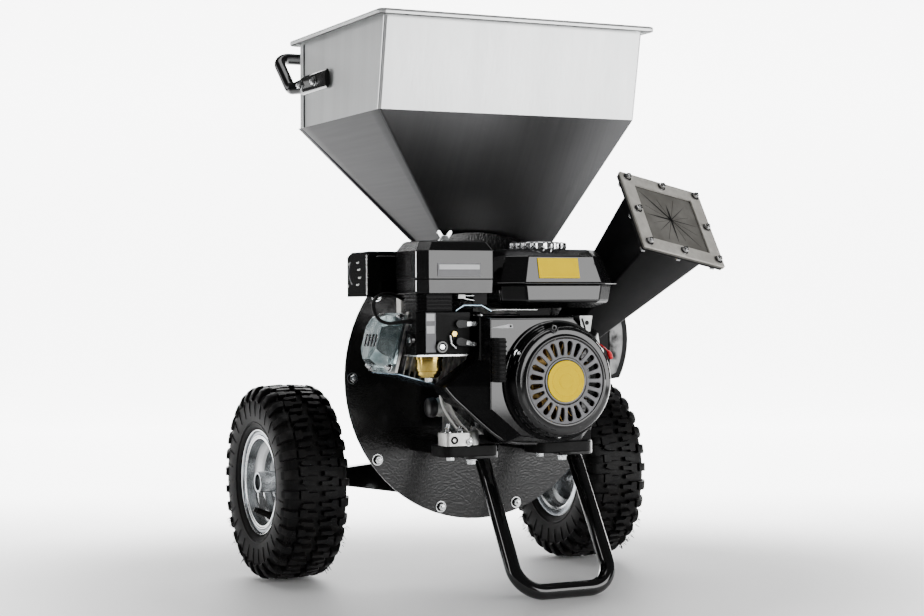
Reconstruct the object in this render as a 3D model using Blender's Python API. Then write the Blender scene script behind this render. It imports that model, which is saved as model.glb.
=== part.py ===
# Petrol garden shredder: sheet-steel hopper over a round rotor drum, slanted chipper chute,
# air-cooled engine on two rails in front of the drum, two tyred wheels and a tube stand.
# Metres, +Z up. The engine and its recoil starter face -Y, the wheels turn about X.
import math

import bmesh
import bpy
from mathutils import Vector

for old in list(bpy.data.objects):
    bpy.data.objects.remove(old, do_unlink=True)

GAP = 0.0003  # clearance where two pieces seat on each other

# Wheels
WHEEL_R = 0.165
TYRE_WIDTH = 0.112
TREAD_HALF = 0.046
LUG_HEIGHT = 0.008
TYRE_WALL = 0.006
SEAT_R = 0.0762
LIP_R = 0.0895
WELL_R = 0.060
RIM_HALF = 0.047
RIM_SHEET = 0.0025
HUB_R = 0.018
HUB_OUT = 0.050
HUB_IN = 0.045
TRACK = 0.5685
AXLE_R = 0.0095
AXLE_Y = 0.167
RECESS_R = 0.013
RECESS_DEPTH = 0.012
RING_T = 0.003
AXLE_INSET = 0.008

# Drum and front plate
DRUM_Z = 0.3436
PLATE_R = 0.2413
PLATE_T = 0.004
SHELL_R = 0.190
SHELL_T = 0.003
DRUM_DEPTH = 0.120
FLANGE_LIP = 0.0053
BOLT_R = 0.004
SHAFT_R = 0.012

# Hopper
HOPPER_X = 0.0106
HOPPER_Y = 0.0503
TOP_W = 0.4708
TOP_D = 0.3705
BAND_W = 0.468
BAND_D = 0.3435
BAND_SHIFT_X = -0.006
BAND_SHIFT_Y = 0.0032
HOPPER_TOP = 0.9271
BAND_H = 0.1545
RIM_OVER = 0.017
RIM_H = 0.0091
HOPPER_SHEET = 0.002
NECK_X0 = -0.0312
NECK_X1 = 0.1465
NECK_Y0 = 0.0311
NECK_Y1 = 0.1180
NECK_Z = 0.547

# Hopper handle
HANDLE_R = 0.010
HANDLE_BEND = 0.022
HANDLE_TALL = 0.0165
HANDLE_DROP = 0.0821
HANDLE_Z = HOPPER_TOP - HANDLE_DROP
HANDLE_RISE = 0.058
HANDLE_BACK = 0.072
HANDLE_KNEE = 0.012
HANDLE_SPLAY = 0.014
HANDLE_FRONT_Y = 0.091
HANDLE_FLAT_Y = 0.205
HANDLE_FLAT_T = 0.0045

# Chipper chute
MOUTH = Vector((0.2093, -0.2753, 0.5940))
CHUTE_AIM = Vector((0.190, -0.766, 0.614)).normalized()
CHUTE_ROLL = math.radians(-14.6)
FLANGE_HALF = 0.0805
MOUTH_HALF = 0.061
THROAT_HALF = 0.028
TAPER_LENGTH = 0.283
CHUTE_SHEET = 0.0025
CHUTE_FLANGE_T = 0.004
FLAP_T = 0.003
FRAME_T = 0.003
FRAME_INNER = 0.058
SLIT = 0.0008

# Discharge hood
HOOD_X = 0.153
HOOD_Z = 0.402
HOOD_R = 0.148
HOOD_SHEET = 0.0025

# Stand and rails
STAND_R = 0.0125
STAND_X = 0.0337
STAND_HALF = 0.085
STAND_TOP_Z = 0.222
STAND_KNEE_Y = -0.112
STAND_FOOT_Y = -0.2447
STAND_BEND = 0.045
RAIL_T = 0.0218
RAIL_END_Y = -0.212
RAIL_W = 0.0593

# Engine
BASE_Z = 0.2436
BASE_H = 0.0225
BASE_X0 = -0.128
BASE_X1 = 0.104
BASE_Y0 = -0.222
BASE_Y1 = -0.108
MOUNT_X = -0.015
MOUNT_DX = 0.162
MOUNT_Y = -0.1265
MOUNT_DY = 0.0755
CASE_Y0 = -0.200
CASE_Y1 = -0.045
CASE_HALF = 0.088
CASE_TOP = 0.440
WALL = 0.010
TILT = math.radians(15)
CYL_Y0 = -0.185
CYL_Y1 = -0.095
FIN_HALF = 0.047
CYL_END = 0.2317
COVER_H = 0.040
RECOIL_FACE = -0.3046
RECOIL_BACK = -0.2753
RECOIL_R = 0.094
GRILLE_R = 0.0655
GRILLE_HUB = 0.0370
SLOTS = 24
BADGE_R = 0.032
SHROUD_T = 0.002
SHROUD_TOP = 0.4450
SHROUD_SIDE_LOW = (0.1055, 0.345)
SHROUD_SIDE_HIGH = (0.093, 0.418)
SWITCH_Y = -0.222
SWITCH_UP = 0.026
THROTTLE_AT = (-0.1105, -0.2300)
OIL_Y = -0.182
OIL_Z = 0.303
OIL_LENGTH = 0.078

# Spark plug and lead
PLUG_X = -0.2045
PLUG_Z = 0.4360
PLUG_HEX_R = 0.0080
PLUG_HEX = 0.006
PLUG_R = 0.0045
PLUG_LENGTH = 0.0105
BOOT_R = 0.0045
BOOT_POINTS = 10
LEAD_R = 0.0028

# Air cleaner and carburettor
AIR_X0 = -0.2205
AIR_X1 = -0.0945
AIR_Y0 = -0.250
AIR_Y1 = -0.157
AIR_LOW = 0.4805
AIR_EDGE = 0.5435
AIR_TOP = 0.5610
AIR_BEVEL = 0.010
AIR_CORNER = 0.0147
AIR_CHAMFER = 0.003
AIR_BASE_X1 = -0.160
AIR_BASE_Y1 = -0.180
AIR_BASE_SET = 0.0098
CORNER_STEPS = 4
NUT_HUB = 0.008
COVER_X0 = -0.2173
COVER_X1 = -0.128
COVER_Y0 = -0.236
COVER_Y1 = -0.1877
COVER_LOW = 0.3865
COVER_HIGH = 0.4517
COVER_CORNER = 0.0108
COVER_T = 0.003
CARB_X0 = -0.195
CARB_X1 = -0.148
CARB_LOW = COVER_LOW + 0.002
BOWL_X = -0.1875
BOWL_Y = -0.2072
BOWL_LOW = 0.3440
BOWL_R = 0.0215
LEVER_X = -0.150
CHOKE_Z = 0.4330
VALVE_Z = 0.4060

# Fuel tank
TANK_FLOOR = 0.4567
TANK_SEAM = 0.4940
TANK_TOP = 0.5490
TANK_SHEET = 0.0015
CAP_R = 0.046
CAP_H = 0.0140
CAP_X = 0.0145
CAP_Y = -0.190

# Rotor
DISC_R = SHELL_R - 0.014
KNIFE_IN = 0.088
KNIFE_OUT = DISC_R - 0.006
DISC_T = 0.010
DISC_Y = 0.030
KNIFE_T = 0.008
PADDLE_T = 0.010
BEARING_R = 0.0235
BEARING_T = 0.014
FAN_DEPTH = 0.052
FAN_R = 0.074


def material(name, colour, roughness, metallic=0.0):
    made = bpy.data.materials.new(name)
    made.use_nodes = True
    shader = made.node_tree.nodes["Principled BSDF"]
    shader.inputs["Base Color"].default_value = (*colour, 1.0)
    shader.inputs["Roughness"].default_value = roughness
    shader.inputs["Metallic"].default_value = metallic
    return made


def finish(name, mesh, look, smooth=False):
    mesh.materials.append(material(name, *look))
    if smooth:
        mesh.shade_smooth()
        mesh.set_sharp_from_angle(angle=math.radians(35))
    thing = bpy.data.objects.new(name, mesh)
    bpy.context.collection.objects.link(thing)
    return thing


def rings_to_object(name, rings, look, loop=False, smooth=False):
    work = bmesh.new()
    made = [[work.verts.new(p) for p in ring] for ring in rings]
    pairs = list(zip(made, made[1:]))
    if loop:
        pairs.append((made[-1], made[0]))
    for a, b in pairs:
        count = max(len(a), len(b))
        for i in range(count):
            j = (i + 1) % count
            corners = [a[i % len(a)], a[j % len(a)], b[j % len(b)], b[i % len(b)]]
            work.faces.new(list(dict.fromkeys(corners)))
    if not loop:
        for ring in (made[0], made[-1]):
            if len(ring) > 2:
                work.faces.new(ring)
    bmesh.ops.recalc_face_normals(work, faces=work.faces)
    mesh = bpy.data.meshes.new(name)
    work.to_mesh(mesh)
    work.free()
    return finish(name, mesh, look, smooth)


def basis(axis):
    along = Vector(axis).normalized()
    side = Vector((1, 0, 0)) if abs(along.z) > 0.9 else Vector((0, 0, 1)).cross(along).normalized()
    return along, side, along.cross(side)


def turned(name, centre, axis, profile, sides, look, phase=0.0):
    along, side, other = basis(axis)
    rings = []
    for a, r in profile:
        base = Vector(centre) + along * a
        if r < 1e-9:
            rings.append([base])
            continue
        turns = [phase + 2 * math.pi * k / sides for k in range(sides)]
        rings.append([base + side * r * math.cos(t) + other * r * math.sin(t) for t in turns])
    loop = len(rings[0]) > 1 and len(rings[-1]) > 1
    return rings_to_object(name, rings, look, loop, True)


def prism(name, outline, axis, low, high, look):
    def place(u, v, w):
        return {"x": (w, u, v), "y": (u, w, v), "z": (u, v, w)}[axis]

    return rings_to_object(name, [[place(u, v, w) for u, v in outline] for w in (low, high)], look)


def box(name, low, high, look):
    (x0, y0, z0), (x1, y1, z1) = low, high
    return prism(name, [(x0, y0), (x1, y0), (x1, y1), (x0, y1)], "z", z0, z1, look)


def rounded(u0, u1, v0, v1, r, steps=3):
    points = []
    for cu, cv, start in ((u1 - r, v1 - r, 0), (u0 + r, v1 - r, 90), (u0 + r, v0 + r, 180),
        (u1 - r, v0 + r, 270)):
        for k in range(steps + 1):
            t = math.radians(start + 90 * k / steps)
            points.append((cu + r * math.cos(t), cv + r * math.sin(t)))
    return points


def swept(name, route, look, sides=12, sizes=None, radius=None, phase=0.0):
    route = [Vector(p) for p in route]
    sizes = sizes or [(radius, radius)] * len(route)
    normal = None
    rings = []
    for k, p in enumerate(route):
        ahead = route[min(k + 1, len(route) - 1)] - route[max(k - 1, 0)]
        ahead.normalize()
        if normal is None:
            normal = Vector((0, 0, 1)) if abs(ahead.z) < 0.9 else Vector((0, 1, 0))
        normal = (normal - ahead * normal.dot(ahead)).normalized()
        across = ahead.cross(normal)
        wide, tall = sizes[k]
        turns = [phase + 2 * math.pi * (i + 0.5) / sides for i in range(sides)]
        rings.append([p + across * wide * math.cos(t) + normal * tall * math.sin(t) for t in turns])
    return rings_to_object(name, rings, look, False, True)


def bent(corners, radius, steps=5):
    """A polyline through the corners with each inner corner rounded to an arc."""
    corners = [Vector(c) for c in corners]
    route = [corners[0]]
    for before, corner, after in zip(corners, corners[1:], corners[2:]):
        u = (before - corner).normalized()
        v = (after - corner).normalized()
        half = u.angle(v) / 2
        reach = radius / math.tan(half)
        middle = corner + (u + v).normalized() * radius / math.sin(half)
        start = corner + u * reach - middle
        end = corner + v * reach - middle
        turn = start.angle(end)
        for k in range(steps + 1):
            t = k / steps
            from_start = start * math.sin((1 - t) * turn)
            to_end = end * math.sin(t * turn)
            route.append(middle + (from_start + to_end) / math.sin(turn))
    route.append(corners[-1])
    return route


def boolean(target, other, operation):
    step = target.modifiers.new(operation.lower(), "BOOLEAN")
    step.operation = operation
    step.solver = "EXACT"
    step.object = other
    other.hide_render = True
    other.display_type = "WIRE"


def cut(target, other):
    boolean(target, other, "DIFFERENCE")


def join(target, other):
    boolean(target, other, "UNION")


def pivot(name, at, pieces):
    axle = bpy.data.objects.new(name, None)
    axle.location = at
    bpy.context.collection.objects.link(axle)
    bpy.context.view_layer.update()
    for piece in pieces:
        piece.parent = axle
        piece.matrix_parent_inverse = axle.matrix_world.inverted()


BLACK = ((0.012, 0.012, 0.013), 0.35)
SATIN = ((0.02, 0.02, 0.021), 0.5)
PLASTIC = ((0.018, 0.018, 0.019), 0.45)
STEEL = ((0.55, 0.56, 0.57), 0.35, 1.0)
ZINC = ((0.72, 0.74, 0.76), 0.28, 1.0)
CAST = ((0.62, 0.62, 0.60), 0.45, 1.0)
RUBBER = ((0.015, 0.015, 0.016), 0.85)
CHROME = ((0.85, 0.85, 0.86), 0.12, 1.0)
BRASS = ((0.75, 0.58, 0.22), 0.3, 1.0)
GREY = ((0.30, 0.31, 0.32), 0.5, 0.6)
YELLOW = ((0.85, 0.62, 0.05), 0.45)
RED = ((0.6, 0.02, 0.03), 0.4)

NOTHING = ((1, 1, 1), 0.5)

# Wheels
SHOULDER = WHEEL_R - 0.019
BULGE = TYRE_WIDTH / 2


def tyre(name, side):
    columns = 60
    groove = WHEEL_R - LUG_HEIGHT
    bead = SEAT_R + GAP
    outer = [(-RIM_HALF + 0.0055, bead), (-RIM_HALF + 0.0045, LIP_R + 0.001),
        (-RIM_HALF - 0.003, LIP_R + 0.0105)]
    outer += [(-BULGE, LIP_R + 0.030), (-BULGE + 0.001, SHOULDER - 0.012), (-TREAD_HALF - 0.006, SHOULDER)]
    tread = [-TREAD_HALF, -TREAD_HALF * 0.6, -TREAD_HALF * 0.2, TREAD_HALF * 0.2, TREAD_HALF * 0.6,
        TREAD_HALF]
    inner = [(-a - TYRE_WALL * s, r - TYRE_WALL * d) for (a, r), s, d in (
        (outer[5], 0.3, 1.0), (outer[4], 1.0, 0.3), (outer[3], 1.0, 0.0), (outer[2], 1.2, -0.4))]
    half_in = [(a, r) for a, r in inner] + [(RIM_HALF - 0.0125, bead)]
    profile = [(a, r, None) for a, r in outer] + [(a, None, k) for k, a in enumerate(tread)]
    profile += [(-a, r, None) for a, r in reversed(outer)]
    profile += [(a, r, None) for a, r in reversed(half_in)] + [(-a, r, None) for a, r in half_in]
    centre = Vector((side * TRACK / 2, AXLE_Y, WHEEL_R))
    rings = []
    for a, r, row in profile:
        ring = []
        for k in range(columns):
            turn = -math.pi / 2 + 2 * math.pi * k / columns
            if row is None:
                reach = r
            else:
                beat = (k + (0 if row in (0, 5) else 1 if row in (2, 3) else 2)) % 3
                reach = WHEEL_R if beat < 2 else groove
                if row in (0, 5):
                    reach -= 0.002
            ring.append(centre + Vector((a, reach * math.cos(turn), reach * math.sin(turn))))
        rings.append(ring)
    return rings_to_object(name, rings, RUBBER, True, False)


def rim(name, side):
    web = 0.004
    s = RIM_SHEET
    profile = [(-RIM_HALF, LIP_R), (-RIM_HALF + 0.003, LIP_R), (-RIM_HALF + 0.004, SEAT_R),
        (-0.022, SEAT_R - 0.002)]
    profile += [(-0.016, WELL_R), (0.016, WELL_R), (0.022, SEAT_R - 0.002), (RIM_HALF - 0.004, SEAT_R)]
    profile += [(RIM_HALF - 0.003, LIP_R), (RIM_HALF, LIP_R), (RIM_HALF - 0.001, SEAT_R - s)]
    profile += [(0.024, SEAT_R - s - 0.002), (0.018, WELL_R - s), (web + s / 2, WELL_R - s),
        (web + s / 2, HUB_R)]
    seat = HUB_OUT - RECESS_DEPTH
    profile += [(HUB_OUT, HUB_R), (HUB_OUT, RECESS_R), (seat, RECESS_R), (seat, AXLE_R + GAP)]
    profile += [(-HUB_IN, AXLE_R + GAP), (-HUB_IN, HUB_R)]
    profile += [(web - s / 2, HUB_R), (web - s / 2, WELL_R - s), (-0.018, WELL_R - s)]
    profile += [(-0.024, SEAT_R - s - 0.002), (-RIM_HALF + 0.001, SEAT_R - s)]
    return turned(name, (side * TRACK / 2, AXLE_Y, WHEEL_R), (side, 0, 0), profile, 30, ZINC, math.pi / 2)


for side, word in ((-1, "left"), (1, "right")):
    pieces = [tyre("tyre_" + word, side), rim("wheel_rim_" + word, side)]
    pivot("pivot_wheel_" + word, (side * TRACK / 2, AXLE_Y, WHEEL_R), pieces)
    reach = TRACK / 2 + HUB_OUT - RECESS_DEPTH + GAP
    ring = [(reach, AXLE_R + GAP), (reach, RECESS_R - GAP), (reach + RING_T, RECESS_R - GAP),
        (reach + RING_T, AXLE_R + GAP)]
    turned("axle_ring_" + word, (0, AXLE_Y, WHEEL_R), (side, 0, 0), ring, 16, ZINC)

axle_end = TRACK / 2 + HUB_OUT - AXLE_INSET
turned("axle", (0, AXLE_Y, WHEEL_R), (1, 0, 0), [(-axle_end, 0), (-axle_end, AXLE_R), (axle_end, AXLE_R),
    (axle_end, 0)], 16, STEEL)

# Drum: the shell's flange, the hood's cheek and the rear plate stack up behind the front plate
shell_y0 = PLATE_T + GAP
shell_y1 = shell_y0 + DRUM_DEPTH
rear_y0 = shell_y1 + GAP
rear_y1 = rear_y0 + SHELL_T
hub = (0, 0, DRUM_Z)
Y = (0, 1, 0)

plate = turned("drum_front_plate", hub, Y, [(0, SHAFT_R + 0.009), (0, PLATE_R), (PLATE_T, PLATE_R),
    (PLATE_T, SHAFT_R + 0.009)], 72, BLACK)
flange_r = PLATE_R - FLANGE_LIP
shell = turned("drum_shell", hub, Y, [
    (shell_y0, SHELL_R - SHELL_T), (shell_y0, flange_r), (shell_y0 + SHELL_T,
    flange_r), (shell_y0 + SHELL_T, SHELL_R),
    (shell_y1, SHELL_R), (shell_y1, SHELL_R - SHELL_T)], 64, SATIN)
turned("drum_rear_plate", hub, Y, [(rear_y0, BEARING_R + GAP), (rear_y0, SHELL_R),
    (rear_y1, SHELL_R), (rear_y1, BEARING_R + GAP)], 64, SATIN)

# Hopper
def rectangle(x0, x1, y0, y1, z):
    return [(x0, y0, z), (x1, y0, z), (x1, y1, z), (x0, y1, z)]


def centred(x, y, w, d, z, grow=0.0):
    return rectangle(x - w / 2 - grow, x + w / 2 + grow, y - d / 2 - grow, y + d / 2 + grow, z)


band_z = HOPPER_TOP - BAND_H
under_rim = HOPPER_TOP - RIM_H
bx, by = HOPPER_X + BAND_SHIFT_X, HOPPER_Y + BAND_SHIFT_Y
s = HOPPER_SHEET
neck_low = DRUM_Z + math.sqrt(SHELL_R ** 2 - max(abs(NECK_X0), abs(NECK_X1)) ** 2) - 0.012
top = (HOPPER_X, HOPPER_Y, TOP_W, TOP_D)
band = (bx, by, BAND_W, BAND_D)
neck = (NECK_X0, NECK_X1, NECK_Y0, NECK_Y1)
hopper = rings_to_object("hopper_shell", [
    centred(*top, under_rim, RIM_OVER), centred(*top, HOPPER_TOP, RIM_OVER), centred(*top, HOPPER_TOP, -s),
    centred(*band, band_z, -s), rectangle(NECK_X0 + s, NECK_X1 - s, NECK_Y0 + s, NECK_Y1 - s, NECK_Z),
    rectangle(NECK_X0 + s, NECK_X1 - s, NECK_Y0 + s, NECK_Y1 - s, neck_low), rectangle(*neck, neck_low),
    rectangle(*neck, NECK_Z), centred(*band, band_z), centred(*top, under_rim)], STEEL, True)
saddle = turned("saddle_cutter", hub, Y, [(-0.2, 0), (-0.2, SHELL_R + GAP), (0.3, SHELL_R + GAP), (0.3, 0)],
    64, NOTHING)
cut(hopper, saddle)
throat = box("throat_cutter", (NECK_X0 + s, NECK_Y0 + s, DRUM_Z + 0.05),
    (NECK_X1 - s, NECK_Y1 - s, DRUM_Z + SHELL_R + 0.03), NOTHING)
cut(shell, throat)

# Hopper handle: a tube bent round the back, flattened where it is bolted to the side faces
share = (HANDLE_Z - band_z) / (under_rim - band_z)
left_face = (bx - BAND_W / 2) * (1 - share) + (HOPPER_X - TOP_W / 2) * share
right_face = (bx + BAND_W / 2) * (1 - share) + (HOPPER_X + TOP_W / 2) * share
back_y = by + BAND_D / 2 + HANDLE_BACK
bar_z = HANDLE_Z + HANDLE_RISE
stand_off = HANDLE_FLAT_T + 3 * GAP
left_x = left_face - stand_off
right_x = right_face + stand_off
knee_y = by + BAND_D / 2 + HANDLE_KNEE
corners = [
    (left_x, HANDLE_FRONT_Y, HANDLE_Z), (left_x - 0.010, knee_y, HANDLE_Z - 0.004), (left_x - HANDLE_SPLAY,
    back_y, bar_z),
    (right_x + HANDLE_SPLAY, back_y, bar_z), (right_x + 0.010, knee_y, HANDLE_Z - 0.004), (right_x,
    HANDLE_FRONT_Y, HANDLE_Z)]
route = bent(corners, HANDLE_BEND)
near_end = Vector((left_x, HANDLE_FLAT_Y, HANDLE_Z - 0.001))
far_end = Vector((right_x, HANDLE_FLAT_Y, HANDLE_Z - 0.001))
route = route[:1] + [near_end] + route[1:-1] + [far_end] + route[-1:]
flat = [(HANDLE_FLAT_T, HANDLE_TALL)] * 2
sizes = flat + [(HANDLE_R, HANDLE_R)] * (len(route) - 4) + flat
swept("hopper_handle", route, BLACK, 12, sizes)

# Chipper chute, square in section, tapering to a straight throat that meets the front plate
level = Vector((0, 0, 1)).cross(CHUTE_AIM).normalized()
rise = CHUTE_AIM.cross(level)
WIDE = level * math.cos(CHUTE_ROLL) + rise * math.sin(CHUTE_ROLL)
TALL = rise * math.cos(CHUTE_ROLL) - level * math.sin(CHUTE_ROLL)


def square(depth, half, plane=None):
    points = []
    for u, v in ((-1, -1), (1, -1), (1, 1), (-1, 1)):
        p = MOUTH - CHUTE_AIM * depth + (WIDE * u + TALL * v) * half
        if plane is not None:
            p = p - CHUTE_AIM * ((p.y - plane) / CHUTE_AIM.y)
        points.append(p)
    return points


w = CHUTE_SHEET
rings_to_object("chipper_chute", [
    square(0, MOUTH_HALF), square(TAPER_LENGTH, THROAT_HALF), square(TAPER_LENGTH, THROAT_HALF, -GAP),
    square(TAPER_LENGTH, THROAT_HALF - w, -GAP), square(TAPER_LENGTH, THROAT_HALF - w), square(0,
    MOUTH_HALF - w)], SATIN, True)
rings_to_object("chute_flange", [
    square(0, FLANGE_HALF), square(CHUTE_FLANGE_T, FLANGE_HALF),
    square(CHUTE_FLANGE_T, MOUTH_HALF + GAP), square(0, MOUTH_HALF + GAP)], SATIN, True)
feed = rings_to_object("feed_cutter", [square(TAPER_LENGTH, THROAT_HALF - w, -0.02),
    square(TAPER_LENGTH, THROAT_HALF - w, 0.012)], NOTHING)
cut(plate, feed)
flap = rings_to_object("chute_flap", [square(-GAP, FLANGE_HALF), square(-GAP - FLAP_T, FLANGE_HALF)],
    RUBBER)
for k in range(4):
    t = math.pi * k / 4 + math.radians(22.5)
    u, v = WIDE * math.cos(t) + TALL * math.sin(t), TALL * math.cos(t) - WIDE * math.sin(t)
    long = (MOUTH_HALF - 0.010) * (1.0 if k % 2 else 0.86)
    ends = []
    for depth in (0.01, -0.02):
        c = MOUTH - CHUTE_AIM * depth
        ends.append([c + u * a * long + v * b * SLIT / 2 for a, b in ((-1, -1), (1, -1), (1, 1), (-1, 1))])
    cut(flap, rings_to_object("slit_cutter_%d" % k, ends, NOTHING))
front = GAP * 2 + FLAP_T
rings_to_object("chute_frame", [
    square(-front, FLANGE_HALF), square(-front - FRAME_T, FLANGE_HALF), square(-front - FRAME_T,
    FRAME_INNER), square(-front, FRAME_INNER)], STEEL, True)

# Discharge hood, open to the drum and downwards
def hood_outline(inset, drop):
    points = []
    for degrees in (-28, -20, -10, 0, 10, 20, 30, 40, 50, 60):
        t = math.radians(degrees)
        points.append((HOOD_X + (HOOD_R - inset) * math.cos(t), HOOD_Z + (HOOD_R - inset) * math.sin(t)))
    r = SHELL_R + GAP - (0.03 if inset else 0)
    lean = 38 - (3 if inset else 0)
    for degrees in (lean, 30, 22, 14, 6, 0, -6):
        t = math.radians(degrees)
        points.append((r * math.cos(t) / math.cos(math.radians(2.9)),
            DRUM_Z + r * math.sin(t) / math.cos(math.radians(2.9))))
    points[0] = (points[0][0] + drop * 0.5, points[0][1] - drop)
    points[-1] = (points[-1][0], points[-1][1] - drop)
    return points


hood_y0 = shell_y0 + SHELL_T + GAP
hood = prism("discharge_hood", hood_outline(0, 0), "y", hood_y0, shell_y1, SATIN)
hollow = prism("hood_cutter", hood_outline(HOOD_SHEET, 0.02), "y", hood_y0 + HOOD_SHEET,
    shell_y1 - HOOD_SHEET, NOTHING)
cut(hood, hollow)
outlet = box("outlet_cutter", (SHELL_R - 0.06, hood_y0 + 0.008, DRUM_Z - 0.010),
    (SHELL_R + 0.02, shell_y1 - 0.008, DRUM_Z + 0.100), NOTHING)
cut(shell, outlet)

# Axle brackets: a tapered arm round the axle and a gusset on the drum's rear plate
for side, word in ((-1, "left"), (1, "right")):
    reach = TRACK / 2 - HUB_IN - GAP
    arm = [(0.055, 0.132), (0.175, AXLE_R + 0.1417), (reach, AXLE_R + 0.1425), (reach, WHEEL_R + 0.0155),
        (0.175, WHEEL_R + 0.019), (0.055, WHEEL_R + 0.030)]
    bracket = prism("axle_bracket_" + word, [(side * x, z) for x, z in arm], "y", AXLE_Y - 0.012,
        AXLE_Y + 0.012, BLACK)
    foot = [(rear_y1 + GAP, 0.176), (rear_y1 + GAP, 0.275), (rear_y1 + 0.008, 0.275),
        (AXLE_Y + 0.006, 0.190), (AXLE_Y + 0.006, 0.150), (AXLE_Y - 0.006, 0.150)]
    x0, x1 = sorted((side * 0.072, side * 0.090))
    gusset = prism("gusset_" + word, foot, "x", x0, x1, NOTHING)
    join(bracket, gusset)
    bore = turned("axle_bore_" + word, (0, AXLE_Y, WHEEL_R), (side, 0, 0),
        [(0.02, 0), (0.02, AXLE_R + GAP), (0.3, AXLE_R + GAP), (0.3, 0)], 16, NOTHING)
    cut(bracket, bore)

# Stand: one bent tube that runs out under the engine and down to the ground
foot_z = STAND_R * math.cos(math.pi / 12)
stand_x0, stand_x1 = STAND_X - STAND_HALF, STAND_X + STAND_HALF
route = bent([
    (stand_x0, -GAP, STAND_TOP_Z), (stand_x0, STAND_KNEE_Y, STAND_TOP_Z), (stand_x0, STAND_FOOT_Y, foot_z),
    (stand_x1, STAND_FOOT_Y, foot_z), (stand_x1, STAND_KNEE_Y, STAND_TOP_Z), (stand_x1, -GAP,
    STAND_TOP_Z)], STAND_BEND, 6)
lean = math.atan2(STAND_TOP_Z - foot_z, STAND_KNEE_Y - STAND_FOOT_Y)
swept("stand_tube", route, BLACK, 12, None, STAND_R, lean % (math.pi / 6))

# Engine rails beside the stand's tubes, under the engine's feet
rail_top = BASE_Z - GAP
rails = []
for word, x1 in (("left", stand_x0 - STAND_R - GAP), ("right", stand_x1 - STAND_R - GAP)):
    outline = rounded(x1 - RAIL_W, x1, RAIL_END_Y, RAIL_END_Y + 0.1, 0.016, 4)
    outline = [(x, y if y < RAIL_END_Y + 0.05 else -GAP) for x, y in outline if y < RAIL_END_Y + 0.05]
    outline = [(x1, -GAP), (x1 - RAIL_W, -GAP)] + outline
    rails.append(prism("engine_rail_" + word, outline, "z", rail_top - RAIL_T, rail_top, BLACK))

# Crankcase with its feet, oil neck boss and tank post
def octagon(x0, x1, z0, z1, c):
    return [(x0 + c, z0), (x1 - c, z0), (x1, z0 + c), (x1, z1 - c), (x1 - c, z1), (x0 + c, z1),
        (x0, z1 - c), (x0, z0 + c)]


case_outline = [(-CASE_HALF, BASE_Z + 0.01), (CASE_HALF, BASE_Z + 0.01), (CASE_HALF, CASE_TOP - 0.03),
    (CASE_HALF - 0.03, CASE_TOP)]
case_outline += [(0.03, CASE_TOP), (0.03, TANK_FLOOR - GAP), (-0.03, TANK_FLOOR - GAP), (-0.03, CASE_TOP),
    (-CASE_HALF + 0.03, CASE_TOP), (-CASE_HALF, CASE_TOP - 0.03)]
case = prism("crankcase", case_outline, "y", CASE_Y0, CASE_Y1, CAST)
join(case, box("feet", (BASE_X0, BASE_Y0, BASE_Z), (BASE_X1, BASE_Y1, BASE_Z + BASE_H), NOTHING))
cavity = box("case_cavity", (WALL - CASE_HALF, CASE_Y0 + WALL, BASE_Z + BASE_H),
    (CASE_HALF - WALL, CASE_Y1 - WALL, CASE_TOP - 0.022), NOTHING)
join(case, turned("spigot", hub, Y, [(CASE_Y1 - 0.01, 0), (CASE_Y1 - 0.01, 0.056), (-GAP, 0.056),
    (-GAP, 0)], 32, NOTHING))
neck_axis = (-1, 0, 0)
oil = (-CASE_HALF, OIL_Y, OIL_Z)
join(case, turned("filler_neck", oil, neck_axis, [(-0.01, 0), (-0.01, 0.016), (OIL_LENGTH, 0.0135),
    (OIL_LENGTH, 0)], 16, NOTHING))
cut(case, cavity)
cut(case, turned("filler_bore", oil, neck_axis, [(-0.02, 0), (-0.02, 0.009), (0.1, 0.009), (0.1, 0)], 16,
    NOTHING))
shaft_bore = turned("shaft_bore", hub, Y, [(-0.4, 0), (-0.4, SHAFT_R + GAP), (0.02, SHAFT_R + GAP),
    (0.02, 0)], 24, NOTHING, 0.03)
cut(case, shaft_bore)
for k in range(4):
    x = MOUNT_X + (k % 2 - 0.5) * MOUNT_DX
    y = MOUNT_Y - (k // 2) * MOUNT_DY
    at = (x, y, 0)
    drill = turned("drill_mount_%d" % k, at, (0, 0, 1), [(0.15, 0), (0.15, BOLT_R + GAP),
        (BASE_Z + BASE_H + 0.02, BOLT_R + GAP), (BASE_Z + BASE_H + 0.02, 0)], 8, NOTHING)
    if abs(x) > CASE_HALF:
        cut(case, drill)
    else:
        cut(case, turned("drill_foot_%d" % k, at, (0, 0, 1),
            [(0.15, 0), (0.15, BOLT_R + GAP), (BASE_Z + 0.017, BOLT_R + GAP),
            (BASE_Z + 0.017, 0)], 8, NOTHING))
    cut(rails[k % 2], drill)
    low = rail_top - RAIL_T - GAP
    head = BASE_Z + BASE_H + GAP if abs(x) > CASE_HALF else BASE_Z + 0.0165
    bolt = [(low - 0.009, 0), (low - 0.009, 0.0065), (low - 0.0015, 0.0075), (low - 0.0015, 0.0095),
        (low, 0.0095), (low, BOLT_R), (head, BOLT_R)]
    if abs(x) > CASE_HALF:
        bolt += [(head, 0.0075), (head + 0.0065, 0.0075), (head + 0.0065, 0)]
    else:
        bolt += [(head, 0)]
    turned("mount_bolt_%d" % (k + 1), at, (0, 0, 1), bolt, 6, ZINC)

# Cylinder with its fins, tilted up to the left
ahead = Vector((-math.cos(TILT), 0, math.sin(TILT)))
upward = Vector((math.sin(TILT), 0, math.cos(TILT)))


def tilted(u, v):
    p = ahead * u + upward * v
    return (p.x, DRUM_Z + p.z)


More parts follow.
